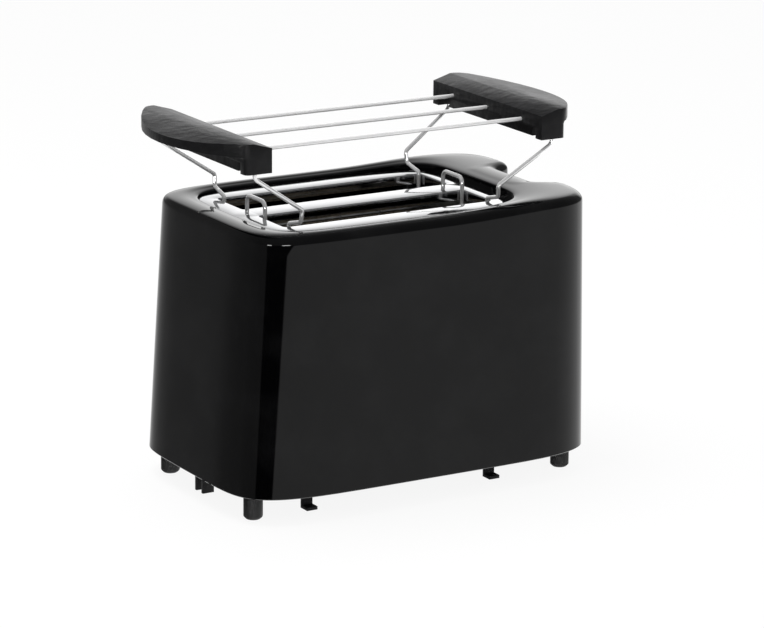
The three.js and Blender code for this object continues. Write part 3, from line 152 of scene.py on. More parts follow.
class CasingSizes(bpy.types.PropertyGroup):
    bottom: length("Bottom", "Height of the lower edge", 16.0)
    top: length("Top", "Height of the rim at the plain end", 172.2)
    base_half_length: length("Base half length", "Half the length at the foot", 122.3)
    top_plain: length("Top, plain end", "Reach of the rim's plain end", 111.6)
    top_control: length("Top, control end", "Reach of the rim's control end", 119.4)
    base_half_width: length("Base half width", "Half the width at the foot", 80.0)
    top_half_width: length("Top half width", "Half the width at the rim", 76.0)
    wall: length("Wall", "Thickness of the wall", 2.4)
    base_power: share("Base squareness", "Power of the outline at the foot", 5.6)
    top_power: share("Top squareness", "Power of the outline at the rim", 6.3)
    rim_radius: length("Rim radius", "Rounding of the rim's outer edge", 5.5)
    rim_reach: length("Rim reach", "Width of the rim's fall to the plate", 4.5)
    rim_drop: length("Rim drop", "Height of that fall", 1.4)
    rim_spread: length("Rim spread", "Widening of the rim's opening at the control end", 9.5)
    rim_wall_share: share("Rim wall share", "Share of that widening at the foot of the fall", 0.7)
    spread_span: lengths("Spread span", "Where the opening starts and stops widening", (20.0, 66.0))
    crown: length("Crown", "Arch of the deck between its two edges", 0.5)
    roll_turn: degrees("Roll", "Turn of the rim's outer rounding", 79.0)
    plain_roll: share("Plain end's roll", "Share of the roll that draws in the plain end", 0.45)
    fall_turn: degrees("Fall", "Turn at which the fall to the plate starts", 40.0)
    deck_rise: length("Deck rise", "Rise of the deck towards the control end", 2.0)
    rise_span: lengths("Rise span", "Where along the casing the deck starts and stops rising", (15.0, 84.0))
    rise_foot: length("Rise foot", "Height from which the wall stretches with the deck", 120.0)
    bay_face: length("Bay face", "Place of the lever bay's back wall", 104.2)
    bay_half_width: length("Bay half width", "Half the width of the lever bay", 25.0)
    bay_blend: length("Bay blend", "Width of the bay's rounded lips", 14.0)
    bay_foot: length("Bay foot", "Height at which the bay starts", 22.0)
    bay_slope: length("Bay slope", "Height over which the bay gets its full depth", 9.0)
    window_half_width: length("Window half width", "Half the width of the opening behind the panel", 16.1)
    window_span: lengths("Window", "Lower and upper edge of that opening", (33.6, 161.4))
    mouth_span: lengths("Tray mouth", "Where the tray's mouth starts and ends", (-78.0, 59.0))
    mouth_top: length("Tray mouth top", "Upper edge of the tray's mouth", 31.0)
    mouth_front: length("Tray mouth depth", "Where the cut of the tray's mouth starts", 58.0)
    edge_round: length("Edge rounding", "Rounding of the lower edge", 0.5)
    floor_lap: length("Floor lap", "Height of the first step inside the lower edge", 0.3)
    foot_steps: count("Bay foot steps", "Steps up the bay's slope", 10)
    wall_steps: count("Wall steps", "Steps up the plain wall", 4)
    upper_steps: count("Upper wall steps", "Steps up the wall that stretches with the deck", 8)
    rim_steps: count("Rim steps", "Steps round the rim", 12)
    deck_steps: count("Deck steps", "Steps across the deck", 8)
    fall_steps: count("Fall steps", "Steps of the rim's fall to the plate", 6)
    lip_steps: count("Lip steps", "Steps across each of the bay's lips", 14)
    corner_steps: count("Corner steps", "Steps round each corner", 40)
    flat_steps: count("Flat steps", "Steps along the middle of each side", 4)


class PlateSizes(bpy.types.PropertyGroup):
    top: length("Top", "Height of the bright plate", 169.9)
    thickness: length("Thickness", "Thickness of the sheet", 1.0)
    centre: length("Centre", "Place of the plate's middle along the casing", -11.5)
    half_length: length("Half length", "Half the plate's length", 82.0)
    half_width: length("Half width", "Half the plate's width", 60.5)
    power: share("Squareness", "Power of the plate's bowed outline", 5.5)
    slot_centre: length("Slot centre", "Place of the slots' middle along the casing", -9.2)
    slot_length: length("Slot length", "Length of a bread slot", 141.5)
    slot_width: length("Slot width", "Width of a bread slot", 32.3)
    bar_width: length("Bar width", "Width of the bar between the slots", 18.6)
    slot_corner: length("Slot corner", "Rounding of a slot's corners", 2.0)
    lip_depth: length("Lip depth", "How far the slots' lips turn down", 6.0)
    lip_wall: length("Lip thickness", "Thickness of the slots' lips", 0.8)
    edge_round: length("Edge rounding", "Rounding where the plate turns down", 0.7)
    rolled: length("Rolled edge", "Width of the rolled outer edge", 1.2)
    rolled_share: share("Rolled edge's middle", "Share of its width and of the sheet there", 0.25)
    ledge_width: length("Ledge width", "Width of the casing's ledge under the plate", 4.03)
    ledge_thickness: length("Ledge thickness", "Thickness of that ledge", 2.2)
    side_gap: length("Side gap", "Gap between the plate and the casing round it", 0.5)
    seat_gap: length("Seat gap", "Gap between the plate and its ledge", 0.3)
    corner_steps: count("Slot corner steps", "Steps round a slot's corner", 6)
    lip_steps: count("Lip steps", "Steps round the edge where the plate turns down", 4)


class RackSizes(bpy.types.PropertyGroup):
    centre: length("Centre", "Place of the rack's middle along the casing", -8.2)
    inner_face: length("Inner face", "Distance of the handles' inner faces from the middle", 91.4)
    rod_radius: length("Bar radius", "Radius of the three bars", 1.2)
    rod_spacing: length("Bar spacing", "Distance between the bars", 38.8)
    rod_height: length("Bar height", "Height of the bars' middle", 217.3)
    rod_grip: length("Bar grip", "How far a bar goes into its handle", 6.0)
    wire_radius: length("Wire radius", "Radius of the legs' wire", 1.25)
    socket: lengths("Socket", "Upper end of a leg, from the rack's middle", (101.0, 58.7, 213.3))
    shoulder: length("Shoulder", "Height at which a leg leaves the vertical", 205.0)
    shoulder_bend: length("Shoulder bend", "Radius of the bend there", 5.0)
    knee: lengths("Knee", "Knee of a leg, from the rack's middle", (66.9, 53.7, 182.1))
    ankle: lengths("Ankle", "Ankle of a leg, from the rack's middle", (67.4, 53.0, 174.8))
    drop: lengths("Drop", "Where the wire drops into a slot, from the rack's middle", (68.0, 39.8))
    dip: length("Dip", "Height of the wire's run inside a slot", 160.6)
    loop_top: length("Loop top", "Height of the loop over the bar", 178.1)
    loop_gap: length("Loop gap", "Gap between the loop and the bar", 0.5)
    loop_bend: length("Loop bend", "Radius of the loops' upper bends", 4.2)
    bend: length("Bend", "Radius of the open bends", 2.8)
    tight_bend: length("Tight bend", "Radius of the close bends", 1.7)
    bend_steps: count("Bend steps", "Steps round a bend of the wire", 8)
    seat_gap: length("Seat gap", "Gap between touching pieces", 0.3)
    handle_round: length("Handle rounding", "Rounding of the handles' edges", 0.9)
    handle_corner: length("Handle corners", "Rounding of the outer corners seen from above", 3.0)
    corner_place: lengths("Corner place", "Those corners, from the rack's middle", (108.4, 62.0))
    corner_search: length("Corner search", "How near an edge must be to count as a corner", 0.5)
    corner_steps: count("Corner steps", "Steps round such a corner", 5)


class EdgeSizes(bpy.types.PropertyGroup):
    base: length("Base", "Rounding of the floor's edges", 0.35)
    foot: length("Foot", "Rounding of the feet's edges", 0.5)
    screw: length("Screw", "Rounding of the screws' edges", 0.15)
    tray: length("Tray", "Rounding of the crumb tray's edges", 0.25)
    panel: length("Panel", "Rounding of the control panel's edges", 0.4)
    paddle: length("Paddle", "Rounding of the lever's paddle", 0.8)
    dial: length("Dial", "Rounding of the dial's edges", 0.35)
    button: length("Button", "Rounding of the buttons' edges", 0.35)


class MarkSizes(bpy.types.PropertyGroup):
    marks: count("Marks", "Marks round the dial", 7)
    first_turn: degrees("First mark", "Turn of the first mark from the top, clockwise", 180.0)
    sweep: degrees("Sweep", "Turn from the first mark to the last", 270.0)
    gap: length("Gap", "Gap between the dial's skirt and the marks", 0.8)
    mark_length: length("Mark length", "Length of a mark", 1.3)
    widths: lengths("Widths", "Width of the first mark and of the last", (0.45, 1.1))
    film: length("Film", "Height of the printing over its ground", 0.06)
    pointer_span: lengths("Pointer span", "Ends of the pointer, from the dial's middle", (3.0, 8.4))
    pointer_width: length("Pointer width", "Width of the pointer line", 0.9)


class StudioLevels(bpy.types.PropertyGroup):
    azimuth: degrees("Azimuth", "Camera's turn round the object", 30.66286)
    elevation: degrees("Elevation", "Camera's height above the horizon", 14.92513)
    roll: degrees("Roll", "Camera's roll", 0.46285)
    picture_width: count("Picture width", "Width of the picture that the camera is fitted to", 764, "PIXEL")
    picture_height: count("Picture height", "Height of that picture", 628, "PIXEL")
    focal_pixels: pixels("Focal length", "Focal length in pixels of that picture", 3724.666)
    scale_pixels: share("Scale", "Pixels to a millimetre at the target", 1.65367)
    target_height: length("Target height", "Height of the point that the camera is set by", 100.0)
    target_u: pixels("Target column", "Column of that point in the picture", 366.7584)
    target_v: pixels("Target row", "Row of that point in the picture", 310.4788)
    background: share("Background", "Strength of the white background", 1.0)
    ambient: share("Ambient", "Strength of the light from all round", 0.75)
    backdrop: share("Backdrop", "Strength of the backdrop in reflections", 1.62)
    backdrop_left: degrees("Backdrop's left edge", "Direction of that edge", 82.0)
    backdrop_right: degrees("Backdrop's right edge", "Direction of that edge", 30.0)
    room: share("Room", "Strength of the dim room in reflections", 0.2)
    table_front: share("Table in front", "Strength of the table in front in reflections", 0.85)
    table_side: share("Table beside", "Strength of the table at the control end", 1.3)
    table_back: share("Table behind", "Strength of the table behind", 0.44)
    table_left: share("Table on the left", "Strength of the table at the plain end", 0.24)
    table_near: share("Table close by", "Strength of the table right under a surface", 0.4)
    flag_left: degrees("Flag's left edge", "Direction of the black flag's left edge", -156.0)
    flag_right: degrees("Flag's right edge", "Direction of its right edge at the horizon", -71.6)
    flag_lean: degrees("Flag's lean", "Turn of the right edge over a whole step down", 190.0)
    strip_light: share("Strip lights", "Strength of the two narrow lights by the flag's edges", 25.0)
    table_grey: share("Table colour", "Grey of the table where the camera sees its shade", 0.9)
    table_white: share("Table white", "Share of the table that shows plain white", 0.9)
    table_rough: share("Table roughness", "Roughness of the table", 0.9)
    table_reach: length("Table reach", "Half the table's length and width", 9000.0)
    key_energy: watts("Key light", "Power of the large lamp above", 12.0)
    fill_energy: watts("Fill light", "Power of the lamp in front", 5.0)


class FinishColours(bpy.types.PropertyGroup):
    gloss_black: colour("Gloss black", "Moulded casing", (0.0009, 0.0009, 0.0011))
    satin_black: colour("Satin black", "Handles, base and dial", (0.006, 0.006, 0.0066))
    rubber: colour("Rubber", "Feet", (0.006, 0.006, 0.0062))
    chrome: colour("Chrome", "Top plate", (0.53, 0.532, 0.54))
    bright_wire: colour("Bright wire", "Bars and wires of the rack", (0.95, 0.95, 0.952))
    steel: colour("Sheet steel", "Chassis, tray and carriage", (0.52, 0.53, 0.54))
    mica: colour("Mica", "Boards that carry the heating ribbons", (0.26, 0.225, 0.17))
    mica_dark: colour("Dark flakes", "Dark flakes in the boards", (0.04, 0.034, 0.027))
    ribbon: colour("Ribbon", "Heating ribbons", (0.11, 0.1, 0.095))
    copper: colour("Copper", "Coil of the electromagnet", (0.45, 0.16, 0.07))
    board: colour("Laminate", "Circuit board", (0.32, 0.2, 0.08))
    grey: colour("Grey plastic", "Buttons and the dial's shaft", (0.21, 0.22, 0.23))
    printing: colour("Printing", "Marks round the dial", (0.6, 0.6, 0.6))


# Meshes


def mesh_from(name, bm):
    """A mesh made from a bmesh, which is freed."""
    mesh = bpy.data.meshes.new(name)
    bm.to_mesh(mesh)
    bm.free()
    return mesh


def centred_mesh(name, bm):
    """The same for a shape drawn about the toaster's middle, moved into the frame."""
    mesh = mesh_from(name, bm)
    mesh.transform(Matrix.Translation((ORIGIN_SHIFT, 0.0, 0.0)))
    return mesh


def evaluated_mesh(thing):
    """The mesh that an object's modifiers or curve settings give."""
    bpy.context.view_layer.update()
    return bpy.data.meshes.new_from_object(thing.evaluated_get(bpy.context.evaluated_depsgraph_get()))


def add_piece(name, mesh, body, material, replaced=(), sharp=SHARP_ANGLE):
    """Links a mesh that stands in the frame as a finished piece, which rides on a body."""
    piece = bpy.data.objects.new(name, mesh)
    bpy.context.scene.collection.objects.link(piece)
    mesh.materials.append(material)
    mesh.shade_smooth()
    mesh.set_sharp_from_angle(angle=sharp)
    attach(piece, body)
    if replaced:
        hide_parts(*replaced)
    return piece


def lay_ring(bm, points):
    """A closed loop of edges through points, each vertex knowing its number."""
    station = bm.verts.layers.int.get("station") or bm.verts.layers.int.new("station")
    verts = bmesh.ops.create_circle(bm, segments=len(points), radius=1.0)["verts"]
    for index, vert in enumerate(verts):
        vert[station] = index
        vert.co = points[index]
    return list({edge for vert in verts for edge in vert.link_edges})


def band(bm, rings):
    """Draws the first ring out through the others."""
    edges = lay_ring(bm, rings[0])
    station = bm.verts.layers.int["station"]
    for ring in rings[1:]:
        grown = bmesh.ops.extrude_edge_only(bm, edges=edges)["geom"]
        fresh = {item for item in grown if isinstance(item, bmesh.types.BMVert)}
        for vert in fresh:
            vert.co = ring[vert[station]]
        edges = [item for item in grown if isinstance(item, bmesh.types.BMEdge) and set(item.verts) <= fresh]


def fill_between(bm, loops):
    """A flat face inside the first loop and outside the others."""
    edges = [edge for points in loops for edge in lay_ring(bm, points)]
    bmesh.ops.triangle_fill(bm, use_beauty=True, use_dissolve=False, edges=edges)


def close_skin(bm):
    """Welds what meets and turns all faces outwards."""
    bmesh.ops.remove_doubles(bm, verts=bm.verts, dist=WELD)
    bmesh.ops.recalc_face_normals(bm, faces=bm.faces)


def box_bmesh(low, high):
    """A closed box between two corners."""
    bm = bmesh.new()
    bmesh.ops.create_cube(bm, size=1.0)
    bmesh.ops.scale(bm, vec=Vector(high) - Vector(low), verts=bm.verts)
    bmesh.ops.translate(bm, vec=(Vector(low) + Vector(high)) / 2, verts=bm.verts)
    return bm


def round_edges(bm, edges, radius, segments):
    """Rounds some edges."""
    bmesh.ops.bevel(
        bm, geom=edges, offset=radius, offset_type="OFFSET", segments=segments, profile=0.5,
        affect="EDGES", clamp_overlap=True, material=-1,
    )


def carve(piece, tool_bm):
    """Cuts a closed tool out of a piece for good."""
    tool_mesh = centred_mesh("carving_tool", tool_bm)
    tool = bpy.data.objects.new("carving_tool", tool_mesh)
    bpy.context.scene.collection.objects.link(tool)
    cutting = piece.modifiers.new("cut", "BOOLEAN")
    cutting.object = tool
    cutting.operation = "DIFFERENCE"
    cutting.solver = "EXACT"
    old = piece.data
    result = evaluated_mesh(piece)
    piece.modifiers.clear()
    piece.data = result
    result.name = piece.name
    bpy.data.objects.remove(tool)
    for mesh in (old, tool_mesh):
        bpy.data.meshes.remove(mesh)
    result.set_sharp_from_angle(angle=SHARP_ANGLE)


def refined(node, body, material, rounding, segments=2, prepare=None):
    """A copy of a CAD node with its edges rounded, which takes the node's place."""
    bm = bmesh.new()
    bm.from_mesh(NODES[node].data)
    bmesh.ops.remove_doubles(bm, verts=bm.verts, dist=WELD)
    bmesh.ops.dissolve_limit(bm, angle_limit=FLAT_ANGLE, verts=bm.verts, edges=bm.edges)
    if prepare:
        prepare(bm)
    edges = [edge for edge in bm.edges if edge.is_manifold and edge.calc_face_angle(0.0) > EDGE_ANGLE]
    round_edges(bm, edges, rounding, segments)
    bmesh.ops.recalc_face_normals(bm, faces=bm.faces)
    name = node + "_dressed"
    add_piece(name, mesh_from(name, bm), body, material, (node,))


def wire_piece(name, points, radius, material, replaced):
    """A round wire of the rack along points, made a mesh before it rides."""
    curve = bpy.data.curves.new(name, "CURVE")
    curve.dimensions = "3D"
    curve.bevel_depth = radius
    curve.bevel_resolution = WIRE_RESOLUTION
    curve.use_fill_caps = True
    spline = curve.splines.new("POLY")
    spline.points.add(len(points) - 1)
    for place, point in zip(spline.points, points):
        place.co = (*point, 1.0)
    holder = bpy.data.objects.new(name, curve)
    bpy.context.scene.collection.objects.link(holder)
    mesh = evaluated_mesh(holder)
    bpy.data.objects.remove(holder)
    bpy.data.curves.remove(curve)
    bm = bmesh.new()
    bm.from_mesh(mesh)
    bpy.data.meshes.remove(mesh)
    close_skin(bm)
    add_piece(name, centred_mesh(name, bm), "bun_rack", material, (replaced,), ROUND_ANGLE)


# Shader nodes


def add_node(tree, kind, inputs, **settings):
    """A shader node whose inputs are plain values or other nodes' outputs."""
    node = tree.nodes.new("ShaderNode" + kind)
    for name, setting in settings.items():
        setattr(node, name, setting)
    for key, value in inputs.items():
        if isinstance(value, bpy.types.NodeSocket):
            tree.links.new(value, node.inputs[key])
        else:
            node.inputs[key].default_value = value
    return node


def math_node(tree, operation, first, second):
    return add_node(tree, "Math", {0: first, 1: second}, operation=operation).outputs["Value"]


def mix_shader(tree, part, first, second):
    return add_node(tree, "MixShader", {"Fac": part, 1: first, 2: second}).outputs["Shader"]


def noise(tree, scale, detail, rough):
    """Noise that keeps its place on the piece."""
    place = add_node(tree, "TexCoord", {}).outputs["Object"]
    inputs = {"Vector": place, "Scale": scale, "Detail": detail, "Roughness": rough}
    return add_node(tree, "TexNoise", inputs).outputs["Fac"]


def remap(tree, value, low, high, out_low=0.0, out_high=1.0):
    """A value moved from one range to another and held inside it."""
    inputs = {"Value": value, "From Min": low, "From Max": high, "To Min": out_low, "To Max": out_high}
    return add_node(tree, "MapRange", inputs, clamp=True).outputs["Result"]


def node_group(name, inputs, output, kind):
    """A shader group with one output, as its tree, its given sockets and the socket of its result."""
    tree = bpy.data.node_groups.new(name, "ShaderNodeTree")
    for label, default in inputs.items():
        given = "NodeSocketFloat" if isinstance(default, float) else "NodeSocketColor"
        socket = tree.interface.new_socket(name=label, in_out="INPUT", socket_type=given)
        socket.default_value = default
    tree.interface.new_socket(name=output, in_out="OUTPUT", socket_type=kind)
    return tree, tree.nodes.new("NodeGroupInput").outputs, tree.nodes.new("NodeGroupOutput").inputs[output]


def grain_group():
    """Fine grain over a broad wave."""
    inputs = {"Scale": 1200.0, "Wave": 90.0, "Wave share": 0.3, "Rough": 0.55}
    inputs |= {"Fine detail": 3.0, "Broad detail": 1.0}
    tree, given, result = node_group("Moulded grain", inputs, "Height", "NodeSocketFloat")
    fine = noise(tree, given["Scale"], given["Fine detail"], given["Rough"])
    broad = noise(tree, given["Wave"], given["Broad detail"], given["Rough"])
    blend = add_node(tree, "Mix", {"Factor": given["Wave share"], "A": fine, "B": broad})
    tree.links.new(blend.outputs["Result"], result)


def marks_group():
    """Roughness with the smears that handling leaves."""
    inputs = {"Scale": 22.0, "Low": 0.1, "High": 0.2}
    inputs |= {"Start": 0.42, "End": 0.72, "Detail": 6.0, "Rough": 0.62}
    tree, given, result = node_group("Handling marks", inputs, "Roughness", "NodeSocketFloat")
    smear = noise(tree, given["Scale"], given["Detail"], given["Rough"])
    mask = remap(tree, smear, given["Start"], given["End"])
    tree.links.new(remap(tree, mask, 0.0, 1.0, given["Low"], given["High"]), result)


def tones_group():
    """Two colours in soft spots."""
    inputs = {"First": (0.5, 0.5, 0.5, 1.0), "Second": (0.4, 0.4, 0.4, 1.0), "Scale": 200.0}
    inputs |= {"Start": 0.45, "End": 0.65, "Detail": 5.0, "Rough": 0.6}
    tree, given, result = node_group("Two tones", inputs, "Colour", "NodeSocketColor")
    spots = noise(tree, given["Scale"], given["Detail"], given["Rough"])
    mask = remap(tree, spots, given["Start"], given["End"])
    colours = {"Factor": mask, COLOUR_A: given["First"], COLOUR_B: given["Second"]}
    mix = add_node(tree, "Mix", colours, data_type="RGBA")
    tree.links.new(mix.outputs[COLOUR_RESULT], result)


def place_group(tree, name, **values):
    node = add_node(tree, "Group", {}, node_tree=bpy.data.node_groups[name])
    for label, value in values.items():
        node.inputs[label.replace("_", " ")].default_value = value
    return node.outputs[0]


def finish(name, colour_name, second=None, tone_scale=60.0, metallic=0.0, rough=(0.3, 0.4), mark_scale=22.0,
           grain=1200.0, wave=90.0, wave_share=0.3, bump=0.02, height=GRAIN_HEIGHT, specular=0.5):
    """A material with a second tone (a share of the first, or a colour's name), smears and relief."""
    if name in bpy.data.materials:
        return bpy.data.materials[name]
    if "Moulded grain" not in bpy.data.node_groups:
        grain_group()
        marks_group()
        tones_group()
    colours = bpy.context.scene.toaster_finish
    base = getattr(colours, colour_name)
    if isinstance(second, str):
        other = getattr(colours, second)
    else:
        gain, lift = (second, 0.0) if second else (TONE_GAIN, TONE_LIFT)
        other = [min(1.0, channel * gain + lift) for channel in base]
    material = bpy.data.materials.new(name)
    material.use_nodes = True
    tree = material.node_tree
    tones = place_group(tree, "Two tones", First=(*base, 1.0), Second=(*other, 1.0), Scale=tone_scale)
    marks = place_group(tree, "Handling marks", Scale=mark_scale, Low=rough[0], High=rough[1])
    relief = place_group(tree, "Moulded grain", Scale=grain, Wave=wave, Wave_share=wave_share)
    raised = add_node(tree, "Bump", {"Strength": bump, "Distance": height, "Height": relief})
    shader = tree.nodes["Principled BSDF"].inputs
    shader["Metallic"].default_value = metallic
    shader["Specular IOR Level"].default_value = specular
    for label, output in (("Base Color", tones), ("Roughness", marks), ("Normal", raised.outputs["Normal"])):
        tree.links.new(output, shader[label])
    return material


def gloss_black():
    return finish("gloss_black_plastic", "gloss_black", tone_scale=30.0, rough=(0.035, 0.06), mark_scale=18.0,
                  grain=900.0, wave=45.0, wave_share=0.8, bump=0.03, height=2 * GRAIN_HEIGHT, specular=0.25)


def satin_black():
    return finish("satin_black_plastic", "satin_black", tone_scale=80.0, rough=(0.3, 0.42), grain=2600.0,
                  wave=150.0, wave_share=0.85, bump=0.9, height=5 * GRAIN_HEIGHT, specular=0.17)


def rubber():
    return finish("foot_rubber", "rubber", tone_scale=300.0, rough=(0.6, 0.75), grain=3000.0, bump=0.25)


def chrome():
    return finish("chromed_steel", "chrome", second=0.97, metallic=1.0, rough=(0.05, 0.1), mark_scale=30.0,
                  grain=500.0, wave=60.0, wave_share=0.85, bump=0.03)


def polished_wire():
    return finish("polished_wire", "bright_wire", second=0.92, metallic=0.7, rough=(0.05, 0.12),
                  mark_scale=120.0, grain=900.0, wave=260.0, wave_share=0.6, bump=0.08,
                  height=GRAIN_HEIGHT / 2)


def bright_wire():
    return finish("bright_wire", "bright_wire", second=0.95, metallic=0.4, rough=(0.14, 0.24),
                  mark_scale=120.0, grain=900.0, wave=200.0, wave_share=0.6, bump=0.05,
                  height=GRAIN_HEIGHT / 2)


def steel():
    return finish("galvanised_sheet", "steel", second=0.72, tone_scale=140.0, metallic=1.0, rough=(0.3, 0.48),
                  mark_scale=50.0, grain=900.0, bump=0.06)


def mica():
    return finish("mica_board", "mica", second="mica_dark", tone_scale=750.0, rough=(0.55, 0.75),
                  grain=1500.0, bump=0.2, height=1.5 * GRAIN_HEIGHT)


def ribbon():
    return finish("heating_ribbon", "ribbon", tone_scale=300.0, metallic=0.8, rough=(0.4, 0.6), grain=2000.0,
                  bump=0.1)


def copper():
    return finish("winding_copper", "copper", second=0.6, tone_scale=900.0, metallic=1.0, rough=(0.3, 0.42),
                  grain=3000.0, bump=0.3)


def laminate():
    return finish("board_laminate", "board", second=0.7, tone_scale=700.0, rough=(0.4, 0.55), grain=3000.0,
                  bump=0.1)


def grey_plastic():
    return finish("grey_plastic", "grey", tone_scale=200.0, rough=(0.35, 0.45), grain=2600.0, bump=0.12)


def printing():
    return finish("printing_ink", "printing", tone_scale=500.0, rough=(0.35, 0.5), grain=3000.0, bump=0.05)


# Outlines


def smooth(value, start, end):
    """A soft rise from 0 at the start to 1 at the end."""
    part = min(max((value - start) / (end - start), 0.0), 1.0)
    return part * part * (3 - 2 * part)


def stepped(start, end, steps):
    """Values from start to end, both of them included."""
    return [start + (end - start) * step / steps for step in range(steps + 1)]


def turned_station(sizes, towards_side):
    """A station of the outline at a given turn of its normal, 0 on the end and 1 on the side."""
    turn = towards_side * math.pi / 2
    power = sizes.base_power
    along = (sizes.base_half_length * math.cos(turn)) ** (1 / (power - 1))
    across = (sizes.base_half_width * math.sin(turn)) ** (1 / (power - 1))
    scale = (along ** power + across ** power) ** (-1 / power)
    return {"share": min(along, across) * scale, "on_side": along < across}


def outline_stations(sizes):
    """Stations round the outline: close at the bay's lips and the corners, wide on the flats."""
    flat = sizes.bay_half_width - sizes.bay_blend / 2
    places = stepped(0.0, flat, sizes.flat_steps)[:-1]
    places += stepped(flat, flat + sizes.bay_blend, sizes.lip_steps)
    quarter = [{"place": y, "share": y / sizes.top_half_width, "on_side": False} for y in places]
    lip_end = quarter[-1]["share"]
    corner = [turned_station(sizes, turn) for turn in stepped(0.0, 1.0, sizes.corner_steps + 1)[1:-1]]
    quarter += [station for station in corner if station["on_side"] or station["share"] > lip_end]
    side = stepped(quarter[-1]["share"], 0.0, sizes.flat_steps)[1:]
    quarter += [{"share": part, "on_side": True} for part in side]
    turns = ((1, 1, quarter), (-1, 1, quarter[-2::-1]), (-1, -1, quarter[1:]), (1, -1, quarter[-2:0:-1]))
    return [{**station, "x": x, "y": y} for x, y, stations in turns for station in stations]


def bowed(station, part, half_length, half_width, power):
    """A station's place on a bowed outline, from its share of the end or of the side."""
    rest = max(0.0, 1 - part ** power) ** (1 / power)
    along, across = (part, rest) if station["on_side"] else (rest, part)
    return station["x"] * half_length * along, station["y"] * half_width * across


def deck_lift(sizes, x, z):
    """How far the deck's rise lifts a point."""
    return sizes.deck_rise * smooth(x, *sizes.rise_span) * smooth(z, sizes.rise_foot, sizes.top)


def casing_ring(sizes, around, z, inset, plain_share=1.0):
    """The casing's outline at a height, drawn in by an inset and at the plain end by a share of it."""
    def at_height(low, high):
        return low + (high - low) * (z - sizes.bottom) / (sizes.top - sizes.bottom)

    plain = at_height(sizes.base_half_length, sizes.top_plain) - inset * plain_share
    control = at_height(sizes.base_half_length, sizes.top_control) - inset
    half_width = at_height(sizes.base_half_width, sizes.top_half_width) - inset
    power = at_height(sizes.base_power, sizes.top_power)
    bay_share = smooth(z, sizes.bay_foot, sizes.bay_foot + sizes.bay_slope)
    lip = sizes.bay_half_width + inset + sizes.bay_blend / 2
    ring = []
    for station in around:
        part = station["place"] / half_width if "place" in station else station["share"]
        x, y = bowed(station, part, control if station["x"] > 0 else plain, half_width, power)
        drawn = bay_share * smooth(lip - abs(y), 0.0, sizes.bay_blend) if x > 0 else 0.0
        x += (min(x, sizes.bay_face - inset) - x) * drawn
        ring.append(Vector((x, y, z + deck_lift(sizes, x, z))))
    return ring


def plate_ring(casing, plate, around, z, growth, lifted=False, spread=0.0):
    """The plate's outline grown all round, widened towards the control end, and lifted with the deck."""
    ring = []
    for station in around:
        half_length, half_width = plate.half_length + growth, plate.half_width + growth
        x, y = bowed(station, station["share"], half_length, half_width, plate.power)
        x += plate.centre + spread * smooth(x, *casing.spread_span)
        ring.append(Vector((x, y, z + (deck_lift(casing, x, z) if lifted else 0.0))))
    return ring


def deck_ring(casing, outer, inner, part):
    """A ring on the crowned deck, at a part of the way from its outer edge to its inner one."""
    ring = []
    for a, b in zip(outer, inner):
        point = a.lerp(b, part)
        arch = casing.crown * (2 * part - 1) ** 2
        point.z = casing.top - arch + deck_lift(casing, point.x, casing.top)
        ring.append(point)
    return ring


